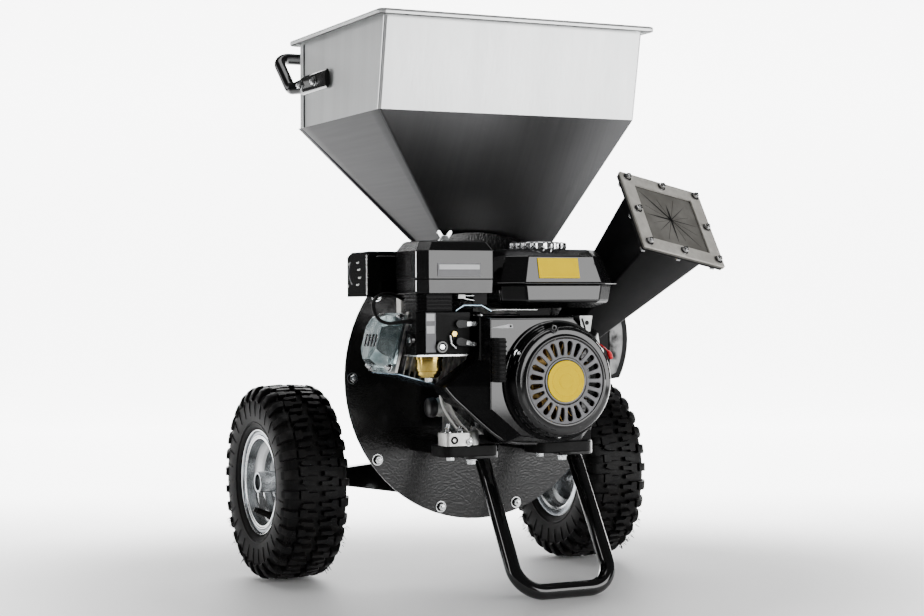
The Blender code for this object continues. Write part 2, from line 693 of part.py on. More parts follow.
start = (CASE_HALF + GAP) / math.cos(TILT) + FIN_HALF * math.tan(TILT) + 0.0005
seat_x = -CASE_HALF - GAP
upper = [(seat_x, CASE_TOP - 0.031)]
lower = [(seat_x, DRUM_Z - 0.024)]
fins = 6
pitch = (CYL_END - 0.018 - start) / fins
for k in range(fins):
    u = start + pitch * k
    for at, v in ((u, FIN_HALF), (u + pitch * 0.45, FIN_HALF), (u + pitch * 0.45, FIN_HALF - 0.012),
        (u + pitch, FIN_HALF - 0.012)):
        upper.append(tilted(at, v))
        lower.append(tilted(at, -v))
upper += [tilted(CYL_END - 0.018, FIN_HALF), tilted(CYL_END, FIN_HALF)]
lower += [tilted(CYL_END - 0.018, -FIN_HALF), tilted(CYL_END, -FIN_HALF)]
prism("cylinder", upper + lower[::-1], "y", CYL_Y0, CYL_Y1, CAST)


def eight(u, half_y, half_v, corner):
    middle = (CYL_Y0 + CYL_Y1) / 2
    points = []
    for a, b in octagon(-half_y, half_y, -half_v, half_v, corner):
        x, z = tilted(u, b)
        points.append((x, middle + a, z))
    return points


cyl_half = (CYL_Y1 - CYL_Y0) / 2
rings_to_object("rocker_cover", [
    eight(CYL_END + GAP, cyl_half, FIN_HALF, 0.014), eight(CYL_END + 0.004, cyl_half, FIN_HALF, 0.014),
    eight(CYL_END + 0.0045, cyl_half - 0.006, FIN_HALF - 0.006, 0.015), eight(CYL_END + COVER_H - 0.010,
    cyl_half - 0.009, FIN_HALF - 0.008, 0.016),
    eight(CYL_END + COVER_H, cyl_half - 0.015, FIN_HALF - 0.014, 0.016)], CAST)

# Spark plug in the head's front face, and its lead, which loops out to the left and ends at the fan shroud
plug_at = (PLUG_X, CYL_Y0 - GAP, PLUG_Z)
turned("spark_plug", plug_at, (0, -1, 0), [
    (0, 0), (0, PLUG_HEX_R), (PLUG_HEX, PLUG_HEX_R), (PLUG_HEX, PLUG_R), (PLUG_LENGTH,
    PLUG_R), (PLUG_LENGTH, 0)], 6, CHROME)
lead_y = plug_at[1] - PLUG_LENGTH - GAP
lead = [
    (PLUG_X, lead_y, PLUG_Z), (PLUG_X - 0.0005, lead_y - 0.0040, PLUG_Z), (PLUG_X - 0.0030, lead_y - 0.0070,
    PLUG_Z + 0.0005),
    (PLUG_X - 0.0070, lead_y - 0.0084, PLUG_Z + 0.0010), (PLUG_X - 0.0125, lead_y - 0.0084,
    PLUG_Z + 0.0015),
    (-0.2290, -0.2010, 0.4370), (-0.2400, -0.1965, 0.4352), (-0.2500, -0.1930, 0.4350), (-0.2600, -0.1880,
    0.4395),
    (-0.2660, -0.1825, 0.4500), (-0.2660, -0.1760, 0.4620), (-0.2600, -0.1690, 0.4720), (-0.2490, -0.1630,
    0.4785),
    (-0.2360, -0.1585, 0.4805), (-0.2215, -0.1550, 0.4785), (-0.2060, -0.1515, 0.4725), (-0.1900, -0.1500,
    0.4685),
    (-0.1680, -0.1495, 0.4655), (-0.1420, -0.1520, 0.4630), (-0.1220, -0.1620, 0.4585), (-0.1060, -0.1780,
    0.4520),
    (-0.0985, -0.1940, 0.4490), (-0.0965, -0.2095, SHROUD_TOP + LEAD_R + GAP)]
smooth_lead = []
for k in range(len(lead) - 1):
    p0, p1, p2, p3 = (Vector(lead[min(max(i, 0), len(lead) - 1)]) for i in (k - 1, k, k + 1, k + 2))
    bend = 2 * p0 - 5 * p1 + 4 * p2 - p3
    twist = 3 * p1 - p0 - 3 * p2 + p3
    for t in (0.0, 0.5):
        smooth_lead.append(0.5 * (2 * p1 + (p2 - p0) * t + bend * t * t + twist * t * t * t))
smooth_lead.append(Vector(lead[-1]))
boot = [(BOOT_R, BOOT_R)] * BOOT_POINTS + [(LEAD_R, LEAD_R)] * (len(smooth_lead) - BOOT_POINTS)
swept("plug_lead", smooth_lead, RUBBER, 8, boot)

# Muffler in its heat shield
SHIELD_LOW = Vector((-0.2517, -0.1255, 0.4760))
SHIELD_HIGH = Vector((-0.150, -0.045, 0.5470))
shield = box("muffler_shield", SHIELD_LOW, SHIELD_HIGH, BLACK)
skin = Vector((0.0015, 0.0015, 0.0015))
cut(shield, box("shield_cutter", SHIELD_LOW + skin, Vector((SHIELD_HIGH.x, SHIELD_HIGH.y + 0.02,
    SHIELD_HIGH.z)) - skin * Vector((1, 0, 1)).length / 2 ** 0.5, NOTHING))
inside = skin + Vector((GAP, GAP, GAP))
muffler_low = SHIELD_LOW + Vector((inside.x, inside.y + 0.006, inside.z))
muffler_high = SHIELD_HIGH - Vector((inside.x, 0.001, inside.z))
muffler = prism("muffler", rounded(muffler_low.x, muffler_high.x, muffler_low.z, muffler_high.z, 0.014),
    "y", muffler_low.y, muffler_high.y, CAST)
pipe_x, pipe_y, pipe_r = -0.185, -0.108, 0.011
cut(shield, turned("pipe_hole", (pipe_x, pipe_y, 0), (0, 0, 1),
    [(0.46, 0), (0.46, pipe_r + 0.002), (0.485, pipe_r + 0.002), (0.485, 0)], 16, NOTHING))
inner = rounded(muffler_low.x + 0.002, muffler_high.x - 0.002, muffler_low.z + 0.002,
    muffler_high.z - 0.002, 0.012)
cut(muffler, prism("muffler_cavity", inner, "y", muffler_low.y + 0.002, muffler_high.y - 0.002, NOTHING))
head_top = DRUM_Z + math.tan(TILT) * (pipe_r - pipe_x) + FIN_HALF / math.cos(TILT)
join(muffler, turned("exhaust_pipe", (pipe_x, pipe_y, 0), (0, 0, 1),
    [(head_top + GAP, 0), (head_top + GAP, pipe_r), (muffler_low.z + 0.0015, pipe_r),
    (muffler_low.z + 0.0015, 0)], 16, NOTHING))
cut(muffler, turned("pipe_bore", (pipe_x, pipe_y, 0), (0, 0, 1),
    [(0.42, 0), (0.42, pipe_r - 0.002), (0.50, pipe_r - 0.002), (0.50, 0)], 16, NOTHING))

# Air cleaner over its base and the carburettor's cover, which share one round front left corner
def round_front(x0, x1, y0, y1, r, c):
    """A plan outline with small chamfers and a round corner at the front left."""
    points = [(x1 - c, y0), (x1, y0 + c), (x1, y1 - c), (x1 - c, y1), (x0 + c, y1), (x0, y1 - c)]
    for k in range(CORNER_STEPS + 1):
        t = math.radians(180 + 90 * k / CORNER_STEPS)
        points.append((x0 + r + r * math.cos(t), y0 + r + r * math.sin(t)))
    return points


def air_ring(z, inset):
    plan = round_front(AIR_X0 + inset, AIR_X1 - inset, AIR_Y0 + inset, AIR_Y1 - inset, AIR_CORNER,
        AIR_CHAMFER)
    return [(x, y, z) for x, y in plan]


rings_to_object("air_cleaner_cover", [air_ring(AIR_LOW, 0), air_ring(AIR_EDGE, 0),
    air_ring(AIR_TOP, AIR_BEVEL)], PLASTIC)
base_plan = round_front(AIR_X0 + 0.003, AIR_BASE_X1, AIR_Y0 + AIR_BASE_SET, AIR_BASE_Y1, AIR_CORNER - 0.003,
    0.002)
prism("air_cleaner_base", base_plan, "z", COVER_HIGH + GAP, AIR_LOW - GAP, PLASTIC)
nut_at = ((AIR_X0 + AIR_X1) / 2, (AIR_Y0 + AIR_Y1) / 2, AIR_TOP + GAP)
nut = turned("wing_nut", nut_at, (0, 0, 1), [(0, 0), (0, NUT_HUB), (NUT_HUB, 0.006), (NUT_HUB, 0)], 12,
    ZINC)
ear = [(0.005, 0.0005), (0.016, 0.012), (0.0145, 0.0165), (0.009, 0.0155), (0.004, 0.0085)]
wing = prism("wing", ear + [(-u, v) for u, v in ear[::-1]], "y", -0.0016, 0.0016, NOTHING)
wing.location = nut_at
join(nut, wing)
pivot("pivot_wing_nut", nut_at, [nut])

# Carburettor, its bowl, cover and levers. The cover is open at the back, and a notch lets the plug's boot out
t = COVER_T
box("carburettor", (CARB_X0, COVER_Y0 + t + GAP, CARB_LOW),
    (CARB_X1, CYL_Y0 - GAP, COVER_HIGH - t - GAP), CAST)
cover = prism("carburettor_cover", round_front(COVER_X0, COVER_X1, COVER_Y0, COVER_Y1, COVER_CORNER, 0.001),
    "z", COVER_LOW, COVER_HIGH, PLASTIC)
cover_cavity = round_front(COVER_X0 + t, COVER_X1 - t, COVER_Y0 + t, COVER_Y1 + 0.01, COVER_CORNER - t,
    0.001)
cut(cover, prism("cover_cutter", cover_cavity, "z", COVER_LOW - 0.01, COVER_HIGH - t, NOTHING))
notch_low = (COVER_X0 - 0.01, lead_y - 0.0084 - BOOT_R - 0.0015, PLUG_Z - 0.013)
cut(cover, box("boot_notch", notch_low, (PLUG_X + PLUG_HEX_R + 0.0010, COVER_Y1 + 0.01, COVER_HIGH + 0.01),
    NOTHING))
bowl_at = (BOWL_X, BOWL_Y, 0)
bowl_top = CARB_LOW - GAP
turned("float_bowl", bowl_at, (0, 0, 1), [
    (BOWL_LOW, 0), (BOWL_LOW, 0.0055), (BOWL_LOW + 0.0060, 0.0055), (BOWL_LOW + 0.0060,
    0.0120), (BOWL_LOW + 0.0130, BOWL_R),
    (bowl_top - 0.0035, BOWL_R), (bowl_top - 0.0035, BOWL_R - 0.0015), (bowl_top,
    BOWL_R - 0.0015), (bowl_top, 0)], 20, BRASS)


def lever(name, at, length, tall, thick, look, direction):
    dx, dz = math.cos(direction), math.sin(direction)
    outline = []
    for k in range(7):
        t = direction + math.pi / 2 + math.pi * k / 6
        outline.append((at[0] + tall * math.cos(t), at[2] + tall * math.sin(t)))
    for k in range(5):
        t = direction - math.pi / 2 + math.pi * k / 4
        outline.append((at[0] + dx * length + tall * 0.6 * math.cos(t),
            at[2] + dz * length + tall * 0.6 * math.sin(t)))
    made = prism(name, outline, "y", at[1] - thick, at[1], look)
    pivot("pivot_" + name, at, [made])
    return made


lever("choke_lever", (LEVER_X, COVER_Y0 - GAP, CHOKE_Z), 0.026, 0.0065, 0.006, PLASTIC, 0.0)
lever("fuel_valve_lever", (LEVER_X, COVER_Y0 - GAP, VALVE_Z), 0.025, 0.0065, 0.006, PLASTIC,
    math.radians(-10))

# Fan shroud, open at the back round the flywheel
shroud_outline = [
    (-0.178, 0.337), (-0.166, 0.319), (-0.078, 0.2475), (0.0, 0.2452), (0.060, 0.2470), (0.096, 0.287),
    SHROUD_SIDE_LOW, SHROUD_SIDE_HIGH, (0.046, SHROUD_TOP), (-0.118, SHROUD_TOP), (-0.118, 0.378)]
shroud_y1 = CASE_Y0 - GAP
inner_outline = [(-0.172, 0.3355), (-0.164, 0.3235), (-0.077, 0.2500), (0.0, 0.2477), (0.0585, 0.2495),
    (0.0937, 0.288), (0.103, 0.345), (0.0912, 0.4165), (0.0452, 0.4425), (-0.1155, 0.4425), (-0.1155,
    0.3768)]
shroud = prism("fan_shroud", shroud_outline, "y", RECOIL_BACK, shroud_y1, BLACK)
cut(shroud, prism("shroud_cutter", inner_outline, "y", RECOIL_BACK + SHROUD_T, shroud_y1 + 0.02, NOTHING))
cut(shroud, turned("shroud_hole", hub, Y, [(-0.4, 0), (-0.4, 0.080), (-0.25, 0.080), (-0.25, 0)], 32,
    NOTHING))
foot_clear = box("foot_clearance", (BASE_X0 - 0.002, BASE_Y0 - 0.002, 0.20),
    (BASE_X1 + 0.002, 0, BASE_Z + BASE_H + 0.009), NOTHING)
cut(shroud, foot_clear)

# Recoil starter
face = RECOIL_FACE
back = RECOIL_BACK - GAP
turned("recoil_housing", hub, Y, [
    (back, GRILLE_R + 0.010), (back, RECOIL_R), (back - 0.006, RECOIL_R), (back - 0.012,
    RECOIL_R - 0.006), (face + 0.006, RECOIL_R - 0.012),
    (face + 0.001, RECOIL_R - 0.018), (face, GRILLE_R + GAP), (face + 0.0026,
    GRILLE_R + GAP), (face + 0.009, RECOIL_R - 0.021)], 48, BLACK)
grille = turned("recoil_grille", hub, Y, [(face, GRILLE_HUB), (face, GRILLE_R), (face + 0.0026, GRILLE_R),
    (face + 0.0026, GRILLE_HUB)], 48, GREY)
slots = bmesh.new()
for k in range(SLOTS):
    turn = 2 * math.pi * (k + 0.5) / SLOTS
    out = Vector((math.cos(turn), 0, math.sin(turn)))
    across = Vector((-math.sin(turn), 0, math.cos(turn)))
    ring = [(0.0415, -0.0022), (0.0440, -0.0030), (0.0590, -0.0042), (0.0620, -0.0030), (0.0620, 0.0030),
        (0.0590, 0.0042), (0.0440, 0.0030), (0.0415, 0.0022)]
    layers = []
    for y in (face - 0.01, face + 0.01):
        layers.append([slots.verts.new(Vector(hub) + out * r + across * a + Vector((0, y, 0))) for r,
            a in ring])
    slots.faces.new(layers[0])
    slots.faces.new(layers[1])
    for i in range(8):
        j = (i + 1) % 8
        slots.faces.new((layers[0][i], layers[0][j], layers[1][j], layers[1][i]))
bmesh.ops.recalc_face_normals(slots, faces=slots.faces)
slot_mesh = bpy.data.meshes.new("slots")
slots.to_mesh(slot_mesh)
slots.free()
cut(grille, finish("slot_cutter", slot_mesh, NOTHING))
turned("starter_hub", hub, Y, [(face - 0.0015, 0), (face - 0.0015, BADGE_R), (face, BADGE_R + 0.0005),
    (face, GRILLE_HUB - GAP), (face + 0.018, GRILLE_HUB - GAP), (face + 0.018, 0)], 32, YELLOW)
grip_low = Vector((-0.1165, -0.2975, 0.3440))
grip_high = Vector((-0.0952, RECOIL_BACK - GAP, 0.4115))
grip = prism("recoil_grip", rounded(grip_low.x, grip_high.x, grip_low.y, grip_high.y, 0.006), "z",
    grip_low.z, grip_high.z, RUBBER)
pivot("pivot_recoil_grip", (grip_low + grip_high) / 2, [grip])

# Stop switch on the shroud's right side
edge = Vector((SHROUD_SIDE_HIGH[0] - SHROUD_SIDE_LOW[0], 0,
    SHROUD_SIDE_HIGH[1] - SHROUD_SIDE_LOW[1])).normalized()
normal = Vector((edge.z, 0, -edge.x))
seat = Vector((SHROUD_SIDE_LOW[0], SWITCH_Y, SHROUD_SIDE_LOW[1])) + edge * SWITCH_UP
switch = turned("stop_switch", seat, normal, [(GAP, 0), (GAP, 0.0085), (0.010, 0.0075), (0.010, 0)], 12,
    RED)
pivot("pivot_stop_switch", seat, [switch])

# Throttle lever on the engine's top, left of the tank
seat_z = SHROUD_TOP + GAP
post = turned("throttle_lever", (*THROTTLE_AT, 0), (0, 0, 1),
    [(seat_z, 0), (seat_z, 0.007), (seat_z + 0.0022, 0.007), (seat_z + 0.0022, 0)], 12, ZINC)
arm_plan = [(-0.0060, 0.0020), (0.0, -0.0070), (0.0505, -0.0400), (0.0545, -0.0340), (0.0060, 0.0020),
    (0.0, 0.0070)]
arm = prism("throttle_arm", [(THROTTLE_AT[0] + u, THROTTLE_AT[1] + v) for u, v in arm_plan], "z",
    seat_z + 0.0007, seat_z + 0.0025, NOTHING)
join(post, arm)
pivot("pivot_throttle_lever", (*THROTTLE_AT, seat_z + 0.0012), [post])

# Oil filler neck and dipstick
stick_at = Vector(oil) + Vector((-OIL_LENGTH - GAP, 0, 0))
stick = turned("oil_dipstick", stick_at, neck_axis, [(-0.110, 0), (-0.110, 0.003), (0, 0.003), (0, 0.016),
    (0.013, 0.0145), (0.013, 0)], 12, PLASTIC)
pivot("pivot_oil_dipstick", stick_at, [stick])

# Air guide under the cylinder
guide = [tilted(0.150, -FIN_HALF - GAP), tilted(CYL_END - 0.002, -FIN_HALF - GAP),
    tilted(CYL_END - 0.002, -FIN_HALF - 0.002), tilted(0.150, -FIN_HALF - 0.002)]
prism("air_guide", guide, "y", CYL_Y0 - 0.012, CYL_Y1, ZINC)

# Fuel tank in two pressed halves with a seam flange, and its cap
TX0, TX1, TY0, TY1 = -0.0816, 0.1200, -0.2660, -0.1040


def tank_ring(z, dx0, dx1, dy0, dy1, cx, cy):
    x0, x1, y0, y1 = TX0 + dx0, TX1 - dx1, TY0 + dy0, TY1 - dy1
    points = [(x0 + cx, y0), (x1 - cx, y0), (x1, y0 + cy), (x1, y1 - cy), (x1 - cx, y1), (x0 + cx, y1),
        (x0, y1 - cy), (x0, y0 + cy)]
    return [(x, y, z) for x, y in points]


tank = rings_to_object("fuel_tank", [
    tank_ring(TANK_FLOOR, 0.022, 0.028, 0.018, 0.022, 0.026, 0.018), tank_ring(TANK_FLOOR + 0.012, 0.004,
    0.006, 0.004, 0.004, 0.032, 0.024),
    tank_ring(TANK_SEAM, 0, 0, 0, 0, 0.033, 0.024), tank_ring(TANK_SEAM, -0.007, -0.007, -0.006, -0.006,
    0.036, 0.026),
    tank_ring(TANK_SEAM + 0.0025, -0.007, -0.007, -0.006, -0.006, 0.036,
    0.026), tank_ring(TANK_SEAM + 0.0025, 0, 0, 0, 0, 0.033, 0.024),
    tank_ring(TANK_TOP - 0.012, 0.008, 0.010, 0.012, 0.010, 0.032, 0.024), tank_ring(TANK_TOP, 0.022, 0.024,
    0.028, 0.026, 0.026, 0.020)], BLACK)
t = TANK_SHEET
cut(tank, rings_to_object("tank_cavity", [
    tank_ring(TANK_FLOOR + t, 0.022 + t, 0.028 + t, 0.018 + t, 0.022 + t, 0.026,
    0.018), tank_ring(TANK_FLOOR + 0.012 + t, 0.004 + t, 0.006 + t, 0.004 + t, 0.004 + t, 0.031, 0.023),
    tank_ring(TANK_SEAM, t, t, t, t, 0.032, 0.023), tank_ring(TANK_TOP - 0.012 - t, 0.007 + t, 0.009 + t,
    0.011 + t, 0.009 + t, 0.031, 0.023),
    tank_ring(TANK_TOP - t, 0.022 + t, 0.024 + t, 0.028 + t, 0.026 + t, 0.025, 0.019)], NOTHING))
cut(tank, turned("filler_hole", (CAP_X, CAP_Y, 0), (0, 0, 1),
    [(TANK_TOP - 0.01, 0), (TANK_TOP - 0.01, CAP_R - 0.016), (TANK_TOP + 0.01, CAP_R - 0.016),
    (TANK_TOP + 0.01, 0)], 24, NOTHING))
cap_at = (CAP_X, CAP_Y, TANK_TOP + GAP)
cap = turned("fuel_cap", cap_at, (0, 0, 1), [(0, 0), (0, CAP_R - 0.002), (0.003, CAP_R),
    (CAP_H - 0.003, CAP_R), (CAP_H, CAP_R - 0.004), (CAP_H, 0)], 24, CHROME)
pivot("pivot_fuel_cap", cap_at, [cap])

# Rotor: crankshaft, disc, knives, paddles and flywheel fan turn together
shaft_end = rear_y1 + 0.020
shaft_start = CASE_Y0 - 0.045
shaft = turned("crankshaft", hub, Y, [(shaft_start, 0), (shaft_start, SHAFT_R), (shaft_end, SHAFT_R), (shaft_end, 0)], 24, STEEL)
d0 = DISC_Y
d1 = d0 + DISC_T
bore_r = SHAFT_R + GAP
disc = turned("cutter_disc", hub, Y, [
    (shell_y0 + 0.006, bore_r), (shell_y0 + 0.006, 0.030), (d0, 0.030), (d0, DISC_R), (d1, DISC_R), (d1,
    0.030), (rear_y0 - 0.010, 0.030), (rear_y0 - 0.010, bore_r)], 48, STEEL)
rotor = [shaft, disc]


def spun(name, turn, r0, r1, half, y0, y1, look):
    out = Vector((math.cos(turn), 0, math.sin(turn)))
    across = Vector((-math.sin(turn), 0, math.cos(turn)))
    ring = [(r0, -half), (r1, -half), (r1, half), (r0, half)]
    return rings_to_object(name, [[Vector(hub) + out * r + across * a + Vector((0, y, 0)) for r,
        a in ring] for y in (y0, y1)], look)


for k in range(2):
    rotor.append(spun("chipper_knife_%d" % (k + 1), math.pi * (k + 0.31), KNIFE_IN, KNIFE_OUT, 0.016,
        d0 - GAP - KNIFE_T, d0 - GAP, STEEL))
for k in range(2):
    rotor.append(spun("rotor_paddle_%d" % (k + 1), math.pi * (k + 0.81), 0.032, DISC_R, PADDLE_T / 2,
        d1 + GAP, rear_y0 - 0.014, STEEL))
fan_y = CASE_Y0 - FAN_DEPTH
fan = turned("flywheel_fan", hub, Y, [
    (fan_y, 0), (fan_y, 0.030), (fan_y + 0.012, 0.072), (CASE_Y0 - 0.012, FAN_R), (CASE_Y0 - 0.012, bore_r),
    (shaft_start - GAP, bore_r), (shaft_start - GAP, 0)], 32, BRASS)
rotor.append(fan)
pivot("pivot_rotor", hub, rotor)
turned("rear_bearing", hub, Y, [(rear_y0 - 0.004, bore_r), (rear_y0 - 0.004, BEARING_R),
    (rear_y0 - 0.004 + BEARING_T, BEARING_R), (rear_y0 - 0.004 + BEARING_T, bore_r)], 24, STEEL)

# The origin lies under the middle of the bounding box, on the ground
bpy.context.view_layer.update()
lows = [1e9] * 3
highs = [-1e9] * 3
for thing in bpy.data.objects:
    if thing.type != "MESH" or thing.hide_render:
        continue
    for vertex in thing.data.vertices:
        p = thing.matrix_world @ vertex.co
        for i in range(3):
            lows[i] = min(lows[i], p[i])
            highs[i] = max(highs[i], p[i])
shift = Vector((-(lows[0] + highs[0]) / 2, -(lows[1] + highs[1]) / 2, -lows[2]))
for thing in bpy.data.objects:
    if thing.parent is None:
        thing.location += shift
bpy.context.view_layer.update()
print("origin shift", [round(v, 5) for v in shift])
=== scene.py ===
# Looks of the garden shredder: galvanised hopper, gloss black steel, a small petrol engine with
# all its castings, covers and fasteners, and knobbly tyres on zinc rims.
# Metres, +Z up, +X along the axle. Depths y are measured from the front plate's engine side.
import math
import random

import bmesh
import bpy
from mathutils import Matrix, Vector


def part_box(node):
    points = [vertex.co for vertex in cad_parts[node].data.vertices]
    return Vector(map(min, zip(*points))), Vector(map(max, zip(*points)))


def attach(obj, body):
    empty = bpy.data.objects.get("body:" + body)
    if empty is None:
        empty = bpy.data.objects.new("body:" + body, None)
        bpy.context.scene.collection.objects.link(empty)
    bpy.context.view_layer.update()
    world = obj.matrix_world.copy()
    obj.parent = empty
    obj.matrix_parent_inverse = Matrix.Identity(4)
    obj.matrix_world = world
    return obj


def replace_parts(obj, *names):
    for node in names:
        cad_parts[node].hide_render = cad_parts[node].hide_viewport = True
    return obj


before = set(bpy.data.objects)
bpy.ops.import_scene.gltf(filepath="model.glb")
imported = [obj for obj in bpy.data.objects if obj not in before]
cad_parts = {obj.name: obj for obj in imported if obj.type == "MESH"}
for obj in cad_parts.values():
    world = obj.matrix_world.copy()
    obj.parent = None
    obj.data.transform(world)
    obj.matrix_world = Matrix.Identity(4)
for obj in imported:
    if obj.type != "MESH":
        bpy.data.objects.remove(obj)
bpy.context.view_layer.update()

PLATE_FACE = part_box("drum_front_plate")[0].y
FIXED = "frame"
SEAT = 0.0004
rng = random.Random(7)


class Field:
    """A value or colour that varies over a surface. Arithmetic on it adds Math nodes."""

    def __init__(self, tree, socket):
        self.tree = tree
        self.socket = socket

    def node(self, kind, settings=None, inputs=None, out=0):
        made = self.tree.nodes.new("ShaderNode" + kind)
        for name, value in (settings or {}).items():
            setattr(made, name, value)
        for name, value in (inputs or {}).items():
            if isinstance(value, Field):
                self.tree.links.new(value.socket, made.inputs[name])
            else:
                made.inputs[name].default_value = value
        return Field(self.tree, made.outputs[out])

    def maths(self, operation, a, b):
        return self.node("Math", {"operation": operation}, {0: a, 1: b})

    def __add__(self, other):
        return self.maths("ADD", self, other)

    def __sub__(self, other):
        return self.maths("SUBTRACT", self, other)

    def __rsub__(self, other):
        return self.maths("SUBTRACT", other, self)

    def __mul__(self, other):
        return self.maths("MULTIPLY", self, other)

    __radd__ = __add__
    __rmul__ = __mul__

    def smooth(self, low, high):
        inputs = {"Value": self, "From Min": low, "From Max": high}
        return self.node("MapRange", {"interpolation_type": "SMOOTHSTEP"}, inputs)

    def tint(self, dark, light):
        inputs = {"Factor": self, 6: (*dark, 1.0), 7: (*light, 1.0)}
        return self.node("Mix", {"data_type": "RGBA"}, inputs, 2)


class Finish:
    """A Principled material whose colour, roughness and bump are built from fields."""

    def __init__(self, name, colour, roughness, metallic=0.0, coat=0.0, specular=0.5):
        self.material = bpy.data.materials.new(name)
        self.material.use_nodes = True
        tree = self.material.node_tree
        self.shader = tree.nodes["Principled BSDF"]
        self.start = Field(tree, None)
        self.set("Base Color", (*colour, 1.0))
        self.set("Roughness", roughness)
        self.set("Metallic", metallic)
        self.set("Coat Weight", coat)
        self.set("Coat Roughness", 0.06)
        self.set("Specular IOR Level", specular)

    def set(self, name, value):
        if isinstance(value, Field):
            value.tree.links.new(value.socket, self.shader.inputs[name])
        else:
            self.shader.inputs[name].default_value = value

    def place(self, stretch=(1.0, 1.0, 1.0)):
        spot = self.start.node("TexCoord", out=3)
        return self.start.node("Mapping", inputs={"Vector": spot, "Scale": stretch})

    def axis(self, which):
        """One coordinate of the places on a surface."""
        return self.start.node("SeparateXYZ", inputs={"Vector": self.place()}, out=which)

    def noise(self, scale, detail=3.0, stretch=(1.0, 1.0, 1.0), rough=0.55):
        inputs = {"Vector": self.place(stretch), "Scale": scale, "Detail": detail, "Roughness": rough}
        return self.start.node("TexNoise", inputs=inputs)

    def bump(self, height, strength, distance=0.001):
        made = self.start.node("Bump", inputs={"Height": height, "Strength": strength, "Distance": distance})
        self.set("Normal", made)
        return self


def galvanised_sheet():
    dark, light = (0.57, 0.58, 0.58), (0.67, 0.68, 0.68)
    look = Finish("galvanised_sheet", light, 0.4, 1.0)
    streaks = look.noise(240.0, 4.0, (1.0, 1.0, 0.02))
    bands = look.noise(26.0, 2.0, (1.0, 1.0, 0.04))
    clouds = look.noise(5.0, 3.0)
    mix = streaks * 0.25 + bands * 0.45 + clouds * 0.3
    look.set("Base Color", mix.smooth(0.3, 0.7).tint(dark, light))
    look.set("Roughness", streaks * 0.12 + clouds * 0.05 + 0.3)
    return look.bump(streaks, 0.06, 0.0003).material


def funnel_sheet_with_painted_shade(name, low, high):
    """The sloping sheets darken towards the neck and to the right, as painted reflection and shade."""
    look = Finish(name, (high, high, high), 0.36, 1.0)
    streaks = look.noise(240.0, 4.0, (1.0, 0.02, 0.02))
    painted_shade_right = 1.0 - look.axis(0).smooth(0.02, 0.2) * 0.5
    mix = look.axis(2).smooth(0.5, 0.71) * painted_shade_right * 0.85 + streaks * 0.15
    look.set("Base Color", mix.tint((low, low, low * 1.02), (high, high, high * 1.02)))
    look.set("Roughness", streaks * 0.12 + 0.28)
    look.set("Specular Tint", (0.5, 0.5, 0.5, 1.0))
    return look.bump(streaks, 0.06, 0.0003).material


def black_enamel(name="black_enamel", roughness=0.1, grain=520.0, strength=0.05):
    look = Finish(name, (0.004, 0.004, 0.0045), roughness, 0.0, 0.2)
    peel = look.noise(grain, 2.0)
    dust = look.noise(24.0, 5.0)
    look.set("Base Color", dust.smooth(0.55, 0.9).tint((0.003, 0.003, 0.0033), (0.006, 0.006, 0.0062)))
    look.set("Roughness", dust * 0.08 + (roughness - 0.03))
    return look.bump(peel, strength, 0.0004).material


def textured_powder():
    look = Finish("textured_powder", (0.01, 0.01, 0.0105), 0.2, 0.0, 0.1, 0.4)
    pebbles = look.noise(270.0, 2.0, rough=0.4)
    patches = look.noise(9.0, 4.0)
    look.set("Base Color", pebbles.smooth(0.35, 0.75).tint((0.003, 0.003, 0.0033), (0.01, 0.0095, 0.009)))
    look.set("Roughness", patches * 0.08 + pebbles * 0.14 + 0.08)
    return look.bump(pebbles, 0.48, 0.001).material


def satin_powder():
    look = Finish("satin_powder", (0.012, 0.012, 0.0135), 0.42, specular=0.09)
    grain = look.noise(900.0, 2.0)
    patches = look.noise(11.0, 4.0)
    look.set("Base Color", patches.smooth(0.35, 0.7).tint((0.004, 0.004, 0.0045), (0.009, 0.0088, 0.0095)))
    look.set("Roughness", grain * 0.1 + patches * 0.12 + 0.26)
    return look.bump(grain, 0.1, 0.0003).material


def moulded_plastic():
    look = Finish("moulded_plastic", (0.012, 0.012, 0.013), 0.3, specular=0.25)
    grain = look.noise(1300.0, 2.0)
    waves = look.noise(20.0, 2.0)
    look.set("Base Color", waves.tint((0.0045, 0.0045, 0.005), (0.009, 0.009, 0.0095)))
    look.set("Roughness", grain * 0.14 + waves * 0.06 + 0.2)
    return look.bump(grain + waves * 3.0, 0.1, 0.0003).material


def tyre_rubber():
    look = Finish("tyre_rubber", (0.006, 0.006, 0.006), 0.55, 0.0, 0.0, 0.16)
    grain = look.noise(700.0, 3.0)
    dust = look.noise(33.0, 5.0)
    wear = look.noise(120.0, 3.0)
    mix = (dust * 0.7 + wear * 0.3).smooth(0.38, 0.75)
    look.set("Base Color", mix.tint((0.0035, 0.0035, 0.0038), (0.012, 0.0108, 0.01)))
    look.set("Roughness", grain * 0.2 + dust * 0.24 + 0.3)
    return look.bump(grain + wear * 2.0, 0.22, 0.0006).material


def soft_rubber(name, dark, light, specular=0.12, roughness=0.42):
    look = Finish(name, dark, roughness, 0.0, 0.0, specular)
    grain = look.noise(800.0, 2.0)
    cloud = look.noise(26.0, 3.0)
    look.set("Base Color", cloud.smooth(0.3, 0.75).tint(dark, light))
    look.set("Roughness", grain * 0.2 + roughness)
    return look.bump(grain, 0.15, 0.0003).material


def bright_metal(name, dark, light, roughness, stretch=(1.0, 1.0, 1.0), scale=150.0, strength=0.06,
                 metallic=1.0):
    look = Finish(name, light, roughness, metallic)
    brushed = look.noise(scale, 3.0, stretch)
    cloud = look.noise(22.0, 3.0)
    look.set("Base Color", (brushed * 0.4 + cloud * 0.6).smooth(0.3, 0.7).tint(dark, light))
    look.set("Roughness", brushed * 0.12 + cloud * 0.1 + (roughness - 0.11))
    return look.bump(brushed, strength, 0.0003).material


